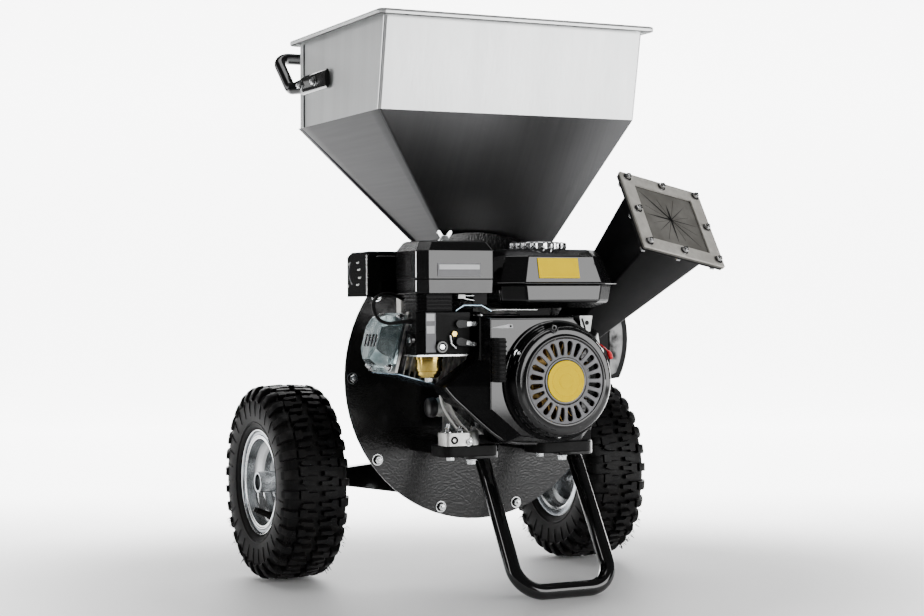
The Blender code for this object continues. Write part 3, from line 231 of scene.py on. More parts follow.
def cast_alloy(name="cast_alloy", dark=(0.3, 0.31, 0.31), light=(0.62, 0.62, 0.6), roughness=0.48):
    look = Finish(name, light, roughness, 0.9)
    sand = look.noise(650.0, 3.0)
    stain = look.noise(45.0, 4.0)
    look.set("Base Color", stain.smooth(0.3, 0.68).tint(dark, light))
    look.set("Roughness", sand * 0.16 + stain * 0.14 + (roughness - 0.15))
    return look.bump(sand, 0.3, 0.0005).material


def flat_film(name, dark, light, roughness=0.35, specular=0.2):
    look = Finish(name, light, roughness, specular=specular)
    cloud = look.noise(60.0, 3.0)
    look.set("Base Color", cloud.tint(dark, light))
    look.set("Roughness", cloud * 0.1 + (roughness - 0.05))
    return look.material


LOOKS = {
    "sheet": galvanised_sheet(),
    "enamel": black_enamel(),
    "gloss": black_enamel("black_gloss", 0.07, 240.0, 0.02),
    "powder": textured_powder(),
    "satin": satin_powder(),
    "plastic": moulded_plastic(),
    "cleaner": black_enamel("cleaner_plastic", 0.17, 30.0, 0.02),
    # A duller copy of the black gloss, for faces that stand in shade: painted shade
    "dim": soft_rubber("shaded_black_gloss", (0.003, 0.003, 0.0033), (0.006, 0.006, 0.0062), 0.07, 0.16),
    "wall": soft_rubber("tyre_wall", (0.004, 0.004, 0.0045), (0.01, 0.0092, 0.0086), 0.1, 0.5),
    "bolt": bright_metal("dark_bolt", (0.22, 0.22, 0.22), (0.5, 0.5, 0.5), 0.16, strength=0.02),
    "frame_sheet": bright_metal("frame_sheet", (0.5, 0.48, 0.44), (0.68, 0.66, 0.61), 0.4, metallic=0.35),
    "cheek": cast_alloy("streaky_cheek", (0.015, 0.015, 0.015), (0.24, 0.24, 0.24), 0.5),
    "foot": cast_alloy("foot_casting", (0.55, 0.55, 0.53), (0.82, 0.81, 0.78), 0.42),
    "tyre": tyre_rubber(),
    "rubber": soft_rubber("black_rubber", (0.004, 0.004, 0.004), (0.009, 0.009, 0.009)),
    "curtain": soft_rubber("curtain_rubber", (0.105, 0.101, 0.092), (0.16, 0.155, 0.143)),
    # Darker copies of the sheet for the funnel's faces, with painted reflection and shade
    "funnel": funnel_sheet_with_painted_shade("funnel_front_painted_shade", 0.016, 0.17),
    "funnel_side": funnel_sheet_with_painted_shade("funnel_side", 0.025, 0.04),
    "zinc": bright_metal("bright_zinc", (0.62, 0.64, 0.65), (0.88, 0.9, 0.9), 0.18, metallic=0.8),
    "rim_shade": bright_metal("rim_shade", (0.1, 0.11, 0.12), (0.22, 0.24, 0.26), 0.24, strength=0.03),
    "rim": bright_metal("rim_zinc", (0.46, 0.47, 0.48), (0.62, 0.64, 0.65), 0.22, (1.0, 0.08, 0.08), 300.0,
    0.03),
    "steel": bright_metal("brushed_steel", (0.42, 0.42, 0.4), (0.62, 0.61, 0.58), 0.38, (0.05, 1.0, 1.0),
    500.0, 0.1),
    "chrome": bright_metal("polished_chrome", (0.8, 0.81, 0.82), (0.9, 0.91, 0.92), 0.12, strength=0.02),
    "alloy": cast_alloy(),
    "cover_alloy": cast_alloy("cover_alloy", (0.2, 0.27, 0.28), (0.48, 0.56, 0.57), 0.22),
    "brass": bright_metal("yellow_passivate", (0.5, 0.34, 0.07), (0.86, 0.64, 0.2), 0.16),
    "fan": bright_metal("fan_metal", (0.26, 0.15, 0.04), (0.62, 0.4, 0.14), 0.45, scale=60.0),
    "blue_zinc": bright_metal("blue_zinc", (0.14, 0.22, 0.3), (0.42, 0.54, 0.62), 0.2, scale=60.0),
    "grille": flat_film("grille_grey", (0.18, 0.18, 0.19), (0.24, 0.24, 0.25), 0.34),
    "yellow": flat_film("plain_yellow", (0.94, 0.64, 0.0), (1.0, 0.7, 0.0), 0.5, 0.01),
    "white": flat_film("plain_white", (0.62, 0.63, 0.64), (0.76, 0.77, 0.78)),
    "red": flat_film("plain_red", (0.55, 0.01, 0.02), (0.7, 0.02, 0.03), 0.3),
}


# The looks behind each material slot of the record
SLOT_LOOKS = {
    "galvanised_sheet": "sheet funnel funnel_side",
    "black_paint": "enamel gloss powder dim",
    "satin_black_paint": "satin",
    "black_plastic": "plastic cleaner",
    "tyre_rubber": "tyre wall",
    "black_rubber": "rubber curtain",
    "bright_zinc": "zinc rim rim_shade blue_zinc bolt",
    "turned_steel": "steel",
    "polished_chrome": "chrome",
    "cast_alloy": "alloy cover_alloy foot",
    "grey_grille": "cheek grille",
    "yellow_brass": "brass fan",
    "yellow_disc": "yellow",
    "red_plastic": "red",
}
SLOTS = {look: slot for slot, looks in SLOT_LOOKS.items() for look in looks.split()}


def mm(*points):
    """Points that are given in millimetres."""
    return [tuple(value / 1000 for value in point) for point in points]


def finish_piece(name, mesh, look, body=FIXED, bevel=0.0, smooth=40.0, segments=2):
    """Links a mesh as a piece, moves it behind the plate's face and lets it ride on its body."""
    mesh.transform(Matrix.Translation((0.0, PLATE_FACE, 0.0)))
    mesh.materials.append(LOOKS[look])
    mesh.shade_smooth()
    mesh.set_sharp_from_angle(angle=math.radians(smooth))
    piece = bpy.data.objects.new(name, mesh)
    bpy.context.scene.collection.objects.link(piece)
    if bevel:
        edge = piece.modifiers.new("soft_edge", "BEVEL")
        edge.width = bevel
        edge.segments = segments
        edge.limit_method = "ANGLE"
        edge.angle_limit = math.radians(32.0)
        edge.harden_normals = True
    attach(piece, body)
    look in SLOTS
    return piece


def mesh_from(name, work):
    """Closes the work on a bmesh and gives its mesh."""
    bmesh.ops.recalc_face_normals(work, faces=work.faces)
    mesh = bpy.data.meshes.new(name)
    work.to_mesh(mesh)
    work.free()
    return mesh


def add_rings(work, rings, loop=False):
    """A skin over rings of points. A ring of one point makes a tip, and a loop has no end caps."""
    made = [[work.verts.new(p) for p in ring] for ring in rings]
    pairs = list(zip(made, made[1:]))
    if loop:
        pairs.append((made[-1], made[0]))
    for a, b in pairs:
        count = max(len(a), len(b))
        for i in range(count):
            j = (i + 1) % count
            corners = [a[i % len(a)], a[j % len(a)], b[j % len(b)], b[i % len(b)]]
            work.faces.new(list(dict.fromkeys(corners)))
    if not loop:
        for ring in (made[0], made[-1]):
            if len(ring) > 2:
                work.faces.new(ring)


def lofted(name, rings, look, body=FIXED, loop=False, **more):
    work = bmesh.new()
    add_rings(work, rings, loop)
    return finish_piece(name, mesh_from(name, work), look, body, **more)


def basis(axis):
    """An axis and two directions square to it."""
    along = Vector(axis).normalized()
    side = Vector((1, 0, 0)) if abs(along.z) > 0.9 else Vector((0, 0, 1)).cross(along).normalized()
    return along, side, along.cross(side)


def round_turns(count, start=0.0):
    return [start + 2 * math.pi * k / count for k in range(count)]


def turned_rings(centre, axis, profile, sides, phase=0.0):
    along, side, other = basis(axis)
    turns = round_turns(sides, phase)
    rings = []
    for a, r in profile:
        base = Vector(centre) + along * a
        ring = [base + side * r * math.cos(t) + other * r * math.sin(t) for t in turns]
        rings.append([base] if r < 1e-9 else ring)
    return rings


def turned(name, centre, axis, profile, sides, look, body=FIXED, phase=0.0, **more):
    """A profile of distances and radii, turned round an axis."""
    rings = turned_rings(centre, axis, profile, sides, phase)
    loop = len(rings[0]) > 1 and len(rings[-1]) > 1
    return lofted(name, rings, look, body, loop, **more)


def stub(low, high, radius):
    """The profile of a plain round bar."""
    return [(low, 0), (low, radius), (high, radius), (high, 0)]


def prism_rings(outline, axis, low, high):
    def place(u, v, w):
        return {"x": (w, u, v), "y": (u, w, v), "z": (u, v, w)}[axis]

    return [[place(u, v, w) for u, v in outline] for w in (low, high)]


def prism(name, outline, axis, low, high, look, body=FIXED, **more):
    """An outline drawn out along one of the three axes."""
    return lofted(name, prism_rings(outline, axis, low, high), look, body, **more)


def block(name, low, high, look, **more):
    outline = [(low[0], low[1]), (high[0], low[1]), (high[0], high[1]), (low[0], high[1])]
    return prism(name, outline, "z", low[2], high[2], look, **more)


def arc(cx, cy, r, start, end, steps):
    turns = [math.radians(start + (end - start) * k / steps) for k in range(steps + 1)]
    return [(cx + r * math.cos(t), cy + r * math.sin(t)) for t in turns]


def rounded(u0, u1, v0, v1, r, steps=4):
    """A rectangle with round corners."""
    return (arc(u1 - r, v1 - r, r, 0, 90, steps) + arc(u0 + r, v1 - r, r, 90, 180, steps)
            + arc(u0 + r, v0 + r, r, 180, 270, steps) + arc(u1 - r, v0 + r, r, 270, 360, steps))


def tube_rings(route, radius, sides=12):
    """Rings along a route. The radius is a number, a width and height, or a list with one for each point."""
    route = [Vector(p) for p in route]
    last = len(route) - 1
    normal = None
    rings = []
    for k, p in enumerate(route):
        ahead = (route[min(k + 1, last)] - route[max(k - 1, 0)]).normalized()
        if normal is None:
            normal = Vector((0, 0, 1)) if abs(ahead.z) < 0.9 else Vector((0, 1, 0))
        normal = (normal - ahead * normal.dot(ahead)).normalized()
        across = ahead.cross(normal)
        size = radius[k] if isinstance(radius, list) else radius
        wide, tall = size if isinstance(size, tuple) else (size, size)
        turns = [2 * math.pi * (i + 0.5) / sides for i in range(sides)]
        rings.append([p + across * wide * math.cos(t) + normal * tall * math.sin(t) for t in turns])
    return rings


def tube(name, route, radius, look, body=FIXED, sides=12, **more):
    return lofted(name, tube_rings(route, radius, sides), look, body, **more)


def wire(name, route, radius, look, **more):
    """A thin tube with eight sides."""
    return tube(name, route, radius, look, sides=8, **more)


def bent(corners, radius, steps=8):
    """The polyline through the corners, with each inner corner turned on an arc."""
    corners = [Vector(c) for c in corners]
    route = [corners[0]]
    for before, corner, after in zip(corners, corners[1:], corners[2:]):
        u = (before - corner).normalized()
        v = (after - corner).normalized()
        half = u.angle(v) / 2
        middle = corner + (u + v).normalized() * radius / math.sin(half)
        start = corner + u * radius / math.tan(half) - middle
        end = corner + v * radius / math.tan(half) - middle
        turn = start.angle(end)
        for k in range(steps + 1):
            t = k / steps
            leg = start * math.sin((1 - t) * turn) + end * math.sin(t * turn)
            route.append(middle + leg / math.sin(turn))
    route.append(corners[-1])
    return route


def flowing(points, steps=5):
    """A smooth curve through given points."""
    points = [Vector(p) for p in points]
    last = len(points) - 1
    route = []
    for k in range(last):
        p0, p1, p2, p3 = (points[min(max(i, 0), last)] for i in (k - 1, k, k + 1, k + 2))
        for j in range(steps):
            t = j / steps
            bend = 2 * p0 - 5 * p1 + 4 * p2 - p3
            twist = 3 * p1 - p0 - 3 * p2 + p3
            route.append(0.5 * (2 * p1 + (p2 - p0) * t + bend * t * t + twist * t * t * t))
    return route + [points[-1]]


def joined(name, pieces):
    """One piece made of several, which all ride on the first one's body."""
    first = pieces[0]
    work = bmesh.new()
    slots = []
    for piece in pieces:
        shades = list(piece.data.materials)
        slots += [shade for shade in shades if shade not in slots]
        before = len(work.faces)
        work.from_mesh(piece.data)
        work.faces.ensure_lookup_table()
        for face in work.faces[before:]:
            face.material_index = slots.index(shades[face.material_index])
    mesh = bpy.data.meshes.new(name)
    work.to_mesh(mesh)
    work.free()
    for shade in slots:
        mesh.materials.append(shade)
    first.data = mesh
    first.name = name
    for piece in pieces[1:]:
        bpy.data.objects.remove(piece)
    return first


def hex_bolt(name, at, axis, across=0.011, head=0.0055, look="zinc"):
    """A domed hexagon head on a washer, which stands on the surface at a point."""
    r = across / 2 / math.cos(math.pi / 6)
    rest = SEAT + 0.0015
    foot = rest + 0.0004
    top = foot + head
    washer = [(SEAT, 0), (SEAT, r * 1.45), (SEAT + 0.0013, r * 1.42), (rest, 0)]
    hexagon = [(foot, 0), (foot, r), (top - 0.0008, r), (top, r * 0.86), (top, 0)]
    dome = [(top, 0), (top, r * 0.5), (top + 0.0022, r * 0.42), (top + 0.0026, 0)]
    return joined(name, [
        turned(name + "_w", at, axis, washer, 24, look),
        # The satin ring between washer and head is a painted shadow line.
        turned(name + "_s", at, axis, stub(rest, foot, r * 1.17), 24, "satin"),
        turned(name + "_h", at, axis, hexagon, 6, look, phase=rng.uniform(0, 1)),
        turned(name + "_d", at, axis, dome, 16, look)])


def recoloured(piece, look, chosen):
    """The faces of a piece that a test picks get a second look."""
    piece.data.materials.append(LOOKS[look])
    for face in piece.data.polygons:
        if chosen(face):
            face.material_index = 1
    return piece


def fasteners(name, places, axis, **more):
    """One piece made of the bolts at several places."""
    made = [hex_bolt("%s_%d" % (name, k), at, axis, **more) for k, at in enumerate(places)]
    return joined(name, made)


HEART = Vector((0.0, 0.05, 0.45))


def slab(name, corners, thick, look, body=FIXED, lift=SEAT, **more):
    """A thin plate that stands off a surface, on the side away from the object's middle."""
    corners = [Vector(c) for c in corners]
    sides = [c - corners[0] for c in corners[1:]]
    normal = sum((a.cross(b) for a, b in zip(sides, sides[1:])), Vector()).normalized()
    if normal.dot(corners[0] - HEART) < 0:
        normal = -normal
    return lofted(name, [[c + normal * t for c in corners] for t in (lift, lift + thick)], look, body, **more)


def front_slab(name, across, rise, y, *more, **rest):
    """A rectangular slab that faces the front."""
    (x0, x1), (z0, z1) = across, rise
    return slab(name, [(x0, y, z0), (x1, y, z0), (x1, y, z1), (x0, y, z1)], *more, **rest)


# The drum's axis, directions and the main sizes of the hopper
DRUM_Z = 0.3436
HUB = (0.0, 0.0, DRUM_Z)
FORWARD = (0, -1, 0)
BACKWARD = (0, 1, 0)
UP = (0, 0, 1)
SHELL_R = 0.19
TOP_Z, RIM_Z, BAND_Z, NECK_Z = 0.9271, 0.918, 0.7726, 0.547
SHEET = 0.0015


def around(x, y, w, d, grow=0.0):
    """The sides of a rectangle that is given by its middle and its widths."""
    return (x - w / 2 - grow, x + w / 2 + grow, y - d / 2 - grow, y + d / 2 + grow)


def sheet_ring(x0, x1, y0, y1, z, r=0.004, cells=10):
    """A rounded rectangle with divided sides. Without a height it lies on the drum."""
    corners = rounded(x0, x1, y0, y1, r, 3)
    outline = []
    for k in range(4):
        outline += corners[4 * k:4 * k + 4]
        (ua, va), (ub, vb) = corners[4 * k + 3], corners[(4 * k + 4) % 16]
        outline += [(ua + (ub - ua) * j / cells, va + (vb - va) * j / cells) for j in range(1, cells)]
    return [(x, y, z or DRUM_Z + math.sqrt((SHELL_R + SEAT) ** 2 - x * x)) for x, y in outline]


# Hopper: a band under a folded rim, a funnel and a neck that sits on the drum
TOP = (0.0106, 0.0503, 0.4708, 0.3705)
BAND = (0.0046, 0.0535, 0.468, 0.3435)
NECK = (-0.0312, 0.1465, 0.0311, 0.118)
slim_neck = (NECK[0] + SHEET, NECK[1] - SHEET, NECK[2] + SHEET, NECK[3] - SHEET)
# The folded rim: how far each ring stands out of the top, its height and its corner radius
RIM_FOLD = (
    (-SHEET, TOP_Z - 0.0015, 0.004), (0.001, TOP_Z, 0.004), (0.0135, TOP_Z, 0.008),
    (0.0162, TOP_Z - 0.0012, 0.01), (0.017, TOP_Z - 0.004, 0.011), (0.0162, RIM_Z + 0.0012, 0.01),
    (0.014, RIM_Z, 0.008), (0.0135, RIM_Z + 0.005, 0.008), (0.0, RIM_Z + 0.006, 0.004), (0.0, RIM_Z, 0.004))
rings = [sheet_ring(*slim_neck, None), sheet_ring(*slim_neck, NECK_Z)]
rings.append(sheet_ring(*around(*BAND, -SHEET), BAND_Z))
rings += [sheet_ring(*around(*TOP, out), z, r) for out, z, r in RIM_FOLD]
rings += [sheet_ring(*around(*BAND), BAND_Z), sheet_ring(*NECK, NECK_Z), sheet_ring(*NECK, None)]
hopper = lofted("hopper", rings, "sheet", loop=True, smooth=14.0)
# Faces that look downwards get the darker funnel copies of the sheet: painted shade and reflection.
for look in ("funnel", "funnel_side"):
    hopper.data.materials.append(LOOKS[look])
for face in hopper.data.polygons:
    if face.normal.z < -0.25:
        face.material_index = 1 if face.normal.y < -0.4 else 2
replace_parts(hopper, "hopper_shell")


def corner(shape, sx, sy, z):
    x, y, w, d = shape
    return Vector((x + sx * w / 2, y + sy * d / 2, z))


along_y = Vector((0, 1, 0))
front_edge = (corner(TOP, -1, -1, RIM_Z), corner(BAND, -1, -1, BAND_Z))
back_edge = (corner(TOP, -1, 1, RIM_Z), corner(BAND, -1, 1, BAND_Z))
strips = []
# Each strip: its edge, its near and far distance along y, its thickness and look. The thin satin strips
# beside the sheet strips are painted shadow lines.
for (top, low), near, far, thick, look in (
        (front_edge, 0.003, 0.013, 0.0012, "sheet"), (front_edge, 0.0135, 0.0155, 0.0002, "satin"),
        (back_edge, -0.018, -0.003, 0.0014, "sheet"), (back_edge, -0.0205, -0.0185, 0.0002, "satin")):
    corners = [top + along_y * near, low + along_y * near, low + along_y * far, top + along_y * far]
    strips.append(slab("corner_strip_and_shadow_line", corners, thick, look))
# The fold on the funnel's rear edge is real; its satin black is painted shade.
neck_back = Vector((NECK[0], NECK[3], NECK_Z))
low_back = back_edge[1]
fold_low, fold_high = neck_back + Vector((-0.006, 0.006, 0.0)), low_back + Vector((-0.001, 0.01, 0.0))
funnel_fold_shade = [low_back, neck_back, fold_low, fold_high]
strips.append(slab("funnel_fold_shade", funnel_fold_shade, 0.0012, "satin"))
joined("hopper_strips_and_shadow_lines", strips)

# Handle behind the hopper, flattened where it is bolted on
HANDLE_Z, HANDLE_REACH, HANDLE_RISE = 0.845, 0.072, 0.058
HANDLE_END, HANDLE_FLATS, HANDLE_BOLTS = 0.091, (0.198, 0.215), (0.1395, 0.2035)
FLAT_END, FLAT_MIDDLE, BAR_R = (0.0044, 0.0165), (0.0075, 0.013), 0.01
share = (HANDLE_Z - BAND_Z) / (RIM_Z - BAND_Z)
left_wall = front_edge[1].x * (1 - share) + front_edge[0].x * share - 0.0054
right_wall = (BAND[0] + BAND[2] / 2) * (1 - share) + (TOP[0] + TOP[2] / 2) * share + 0.0054
back_wall = BAND[1] + BAND[3] / 2
knee, bar_y, bar_z = back_wall + 0.012, back_wall + HANDLE_REACH, HANDLE_Z + HANDLE_RISE
route = bent([
    (left_wall, HANDLE_END, HANDLE_Z), (left_wall - 0.01, knee, HANDLE_Z - 0.004),
    (left_wall - 0.014, bar_y, bar_z), (right_wall + 0.014, bar_y, bar_z),
    (right_wall + 0.01, knee, HANDLE_Z - 0.004), (right_wall, HANDLE_END, HANDLE_Z)], 0.022, 10)
flats = [Vector((wall, y, HANDLE_Z - 0.001)) for wall in (left_wall, right_wall) for y in HANDLE_FLATS]
route = route[:1] + flats[:2] + route[1:-1] + [flats[3], flats[2]] + route[-1:]
sizes = [FLAT_END] * 2 + [FLAT_MIDDLE] + [BAR_R] * (len(route) - 6) + [FLAT_MIDDLE] + [FLAT_END] * 2
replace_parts(tube("handle", route, sizes, "enamel", sides=24, smooth=50.0), "hopper_handle")
for wall, side, word in ((left_wall - 0.0044, -1, "left"), (right_wall + 0.0044, 1, "right")):
    places = [(wall, y, HANDLE_Z) for y in HANDLE_BOLTS]
    fasteners("handle_bolts_" + word, places, (side, 0, 0), across=0.01, head=0.0045, look="chrome")

# Drum: bolts round the front plate
PLATE_BOLTS, PLATE_BOLT_R, PLATE_BACK = 10, 0.2293, 0.0073


def on_plate(y):
    """The places of the bolts round the plate, all at one depth."""
    turns = round_turns(PLATE_BOLTS)
    return [(PLATE_BOLT_R * math.cos(t), y, DRUM_Z + PLATE_BOLT_R * math.sin(t)) for t in turns]


fasteners("plate_bolts", on_plate(0.0), FORWARD, across=0.0115, head=0.006, look="chrome")
fasteners("plate_nuts", on_plate(PLATE_BACK), BACKWARD, across=0.0125, head=0.007)

# Wheels: knobbly tyres on pressed zinc rims
WHEEL_R = 0.165
AXLE = (0.167, 0.165)
HALF_TRACK = 0.28425
PITCHES = 30


def on_wheel(a, s, r, side):
    """A place at a distance across the tyre, a length round it and a radius."""
    turn = s / WHEEL_R
    return (side * HALF_TRACK + a, AXLE[0] + r * math.sin(turn), AXLE[1] - r * math.cos(turn))


def off_axle(face):
    """How far a face lies from the axle's line."""
    return math.dist(face.center.yz, (AXLE[0] + PLATE_FACE, AXLE[1]))


def crown(a):
    """The tread's radius at a distance from the tyre's middle."""
    a = abs(a)
    return WHEEL_R - 2.3 * a * a


# Plans of the lugs, the shoulder's section and the flank from bead to tread
T_BAR = mm((3, -4), (20, -4), (21.5, -8.8), (33, -8.8), (33, 6.4), (21.5, 6.4), (20, 3.4), (3, 3.4))
SHORT_BAR = mm((8, -4), (28, -5.2), (31, 1), (24, 4), (8, 3.4))
SHOULDER = mm((37, 150), (37, 163.2), (45, 161.6), (51.5, 157.2), (56.2, 148.6), (59, 140), (56.6, 137.2),
    (49, 148))
FLANK = mm((41.5, 76.8), (44, 90.5), (47.5, 90.8), (50.2, 93.5), (52, 98.5), (53.8, 99.6), (54.5, 101.2),
    (53.8, 102.8), (54.8, 108), (55.7, 117), (56, 127), (55.3, 136), (53.5, 144), (49.5, 149), (43, 152),
    (25, 154))
FLANK_LINE = ((0.0553, 0.112), (0.0566, 0.127), (0.0556, 0.138))
VALVE = mm((300.5, 180, 103), (309.5, 182, 107), (311, 182.4, 107.7), (329, 186.6, 115.6),
    (333.5, 187.6, 117.6))
TREAD_BASE, TREAD_MIDDLE, WALL_R, HAIRS = 0.1545, 0.1548, 0.1475, 90


def tyre(word, side):
    work = bmesh.new()
    profile = [(-a, r) for a, r in FLANK] + [(0.0, TREAD_MIDDLE)] + FLANK[::-1]
    add_rings(work, turned_rings((side * HALF_TRACK, *AXLE), (1, 0, 0), profile, 120), True)
    step = 2 * math.pi * WHEEL_R / PITCHES
    for k in range(PITCHES):
        for way in (-1, 1):
            s = step * (k + 0.25 * way)
            for plan, shift in ((T_BAR, 0.0), (SHORT_BAR, 0.5)):
                skew, grow, sink = rng.uniform(-0.12, 0.12), rng.uniform(0.86, 1.04), rng.uniform(0.0, 0.0012)
                at = s + step * shift
                foot = [(a, (b + a * skew) * grow * 1.12, TREAD_BASE) for a, b in plan]
                face = [(a, (b + a * skew) * grow, crown(a) - sink) for a, b in plan]
                add_rings(work, [[on_wheel(way * a, at + b, r, side) for a, b, r in row] for row in (foot,
                    face)])
            wide = rng.uniform(0.005, 0.0066)
            ends = [(-wide - 0.0012, 0.996), (-wide, 1.0), (wide, 1.0), (wide + 0.0012, 0.996)]
            add_rings(work, [[on_wheel(way * a, s + b, r * h, side) for a, r in SHOULDER] for b, h in ends])
            line = [Vector(on_wheel(way * a, s + step * 0.5, r, side)) for a, r in FLANK_LINE]
            add_rings(work, tube_rings(line, (0.001, 0.0006), 5))
    for k in range(HAIRS):
        turn, way = rng.uniform(0.45, 1.15) * rng.choice((-1, 1)), rng.choice((-1, 1))
        a = rng.uniform(0.04, 0.053)
        reach = rng.uniform(0.004, 0.009)
        base, tip = (Vector(on_wheel(
            way * (a + out * 0.45), turn * WHEEL_R + out * rng.uniform(-0.5, 0.5), crown(a) + out, side))
            for out in (0.0, reach))
        add_rings(work, tube_rings([base, (base + tip) / 2, tip], [0.0008, 0.0006, 0.0004], 5))
    name = "tyre_on_" + word
    made = finish_piece(name, mesh_from(name, work), "tyre", "wheel_" + word, bevel=0.0007, smooth=38.0)
    recoloured(made, "wall", lambda face: off_axle(face) < WALL_R)
    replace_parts(made, "tyre_" + word)


def rim(word, side):
    """A pressed rim: outer lip, disc, hub, the inside, the inner lip and the tyre's seat, with its valve."""
    lip = mm((44, 76.2), (44, 88), (44.8, 89.2), (46.4, 89.5), (47.4, 88.8), (47, 87.2), (45.2, 86.2),
        (43.6, 84.5), (43.3, 82), (44.2, 80.2), (45.2, 79), (45.2, 77.4), (44, 76.2))
    lip += mm((44, 73.7), (30, 73.2), (27.5, 72.2), (25, 70), (22, 62), (19.5, 59.2), (17.5, 57.8))
    disc = mm((8.5, 57.5), (6, 56), (5, 53), (5.2, 36), (6, 34), (5.2, 32), (5.6, 21.5), (6.4, 19.5), (9, 18))
    hub = mm((49, 18), (50, 17.2), (50, 14), (49, 13.2), (39, 13), (39, 9.8))
    inner = mm((-45, 9.8), (-45, 17.5), (-44, 18), (2, 18), (2, 53), (1, 57.5))
    barrel = mm((-17.5, 57.5), (-22, 60), (-25, 69), (-30, 73.2), (-44, 73.7), (-46, 77.5), (-47, 88),
        (-46.2, 89.5), (-44.8, 89.2), (-44, 76.2))
    seat = mm((-22, 74.2), (-16, 60), (16, 60), (22, 74.2))
    profile = lip + disc + hub + inner + barrel + seat
    body = "wheel_" + word
    middle = (side * HALF_TRACK, *AXLE)
    made = turned("rim_on_" + word, middle, (side, 0, 0), profile, 96, "rim", body, smooth=30.0)
    recoloured(made, "rim_shade", lambda face: 0.08 < off_axle(face) < 0.0865 or off_axle(face) < 0.0174)
    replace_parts(made, "wheel_rim_" + word)
    valve = [(side * x, y, z) for x, y, z in VALVE]
    tube("valve_stem_" + word, valve[:4], [0.0078, 0.007, 0.0056, 0.005], "rubber", body, smooth=60.0)
    tube("valve_cap_" + word, valve[3:], 0.0044, "plastic", body, bevel=0.0006)


AXLE_R, RING_AT = 0.0095, 0.0395
retainer = mm((0, 9.9), (0, 12.2), (1.8, 12.2), (1.8, 9.9))
for side, word in ((-1, "left"), (1, "right")):
    tyre(word, side)
    rim(word, side)
    at = (side * (HALF_TRACK + RING_AT), *AXLE)
    ring = turned("retainer_" + word, at, (side, 0, 0), retainer, 32, "steel", bevel=0.0003)
    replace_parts(ring, "axle_ring_" + word)
half_shaft = [(0.3245, AXLE_R), (0.3262, 0.007), (0.3262, 0)]
shaft = [(-a, r) for a, r in half_shaft[::-1]] + half_shaft
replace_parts(turned("axle_shaft", (0, *AXLE), (1, 0, 0), shaft, 48, "steel"), "axle")

# Axle brackets behind the drum
arm = mm((55, 132), (175, 151.2), (238.9, 152), (238.9, 180.5), (175, 184), (55, 195))
foot = mm((127.3, 176), (127.3, 275), (135, 275), (173, 190), (173, 150), (161, 150))
for side, word in ((-1, "left"), (1, "right")):
    plan = [(side * x, z) for x, z in arm]
    bracket = prism("bracket_" + word, plan, "y", AXLE[0] - 0.012, AXLE[0] + 0.012, "enamel", bevel=0.002)
    gusset = prism("gusset_" + word, foot, "x", *sorted((side * 0.072, side * 0.09)), "enamel", bevel=0.001)
    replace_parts(joined("axle_bracket_on_" + word, [bracket, gusset]), "axle_bracket_" + word)

# Stand and engine rails
STAND_R = 0.0125
FOOT_Z = STAND_R * math.cos(math.pi / 12)
stand_route = bent([
    (-0.0513, -0.0003, 0.222), (-0.0513, -0.112, 0.222), (-0.0513, -0.2447, FOOT_Z),
    (0.1187, -0.2447, FOOT_Z), (0.1187, -0.112, 0.222), (0.1187, -0.0003, 0.222)], 0.045, 14)
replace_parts(tube("stand", stand_route, STAND_R, "gloss", sides=40, smooth=60.0), "stand_tube")
RAIL_TOP, RAIL_LOW = 0.2433, 0.2215
for word, x1 in (("left", -0.0641), ("right", 0.1059)):
    end = [p for p in rounded(x1 - 0.0593, x1, -0.212, -0.112, 0.016, 10) if p[1] < -0.162]
    outline = [(x1, -0.0003), (x1 - 0.0593, -0.0003)] + end
    bar = prism("rail_" + word, outline, "z", RAIL_LOW, RAIL_TOP, "enamel", bevel=0.0022, segments=3)
    pad_x = x1 - 0.104 if x1 < 0 else x1 - 0.11
    plan = rounded(pad_x, x1 - 0.004, -0.216, -0.16, 0.018, 8)
    pad = prism("rail_pad_" + word, plan, "z", 0.226, 0.2436, "rubber", bevel=0.006, segments=4)
    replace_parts(joined("rail_whole_" + word, [bar, pad]), "engine_rail_" + word)

# Chipper chute
MOUTH = Vector((0.2093, -0.2753, 0.594))
AIM = Vector((0.19, -0.766, 0.614)).normalized()
ROLL = math.radians(-14.6)
level = Vector((0, 0, 1)).cross(AIM).normalized()
rise = AIM.cross(level)
WIDE = level * math.cos(ROLL) + rise * math.sin(ROLL)
TALL = rise * math.cos(ROLL) - level * math.sin(ROLL)
FLANGE_HALF, MOUTH_HALF, THROAT_HALF, TAPER = 0.0805, 0.061, 0.028, 0.283
FLANGE, TIN_WALL, GAP, FLAP_THICK, FRAME_THICK, BOLT_LINE = 0.004, 0.0025, 0.0003, 0.003, 0.003, 0.0695
FLAP_FACE = -(GAP + FLAP_THICK + 0.0002)


def chute_ring(depth, half, r=0.004, plane=None):
    """A square across the chute, or slanted where the drum's plate cuts it."""
    points = []
    for u, v in rounded(-half, half, -half, half, r, 3):
        p = MOUTH - AIM * depth + WIDE * u + TALL * v
        points.append(p if plane is None else p - AIM * ((p.y - plane) / AIM.y))
    return points


chute = lofted("chute", [
    chute_ring(FLANGE, MOUTH_HALF), chute_ring(TAPER, THROAT_HALF),
    chute_ring(TAPER, THROAT_HALF, 0.004, -SEAT), chute_ring(TAPER, THROAT_HALF - TIN_WALL, 0.002, -SEAT),
    chute_ring(TAPER, THROAT_HALF - TIN_WALL, 0.002), chute_ring(0.0, MOUTH_HALF - TIN_WALL, 0.002),
    chute_ring(0.0, FLANGE_HALF, 0.003), chute_ring(FLANGE, FLANGE_HALF, 0.003)], "satin",
    loop=True, bevel=0.0006, smooth=30.0)
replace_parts(chute, "chipper_chute", "chute_flange")
spots = [(u, v) for u in (-1, 0, 1) for v in (-1, 0, 1) if (u, v) != (0, 0)]


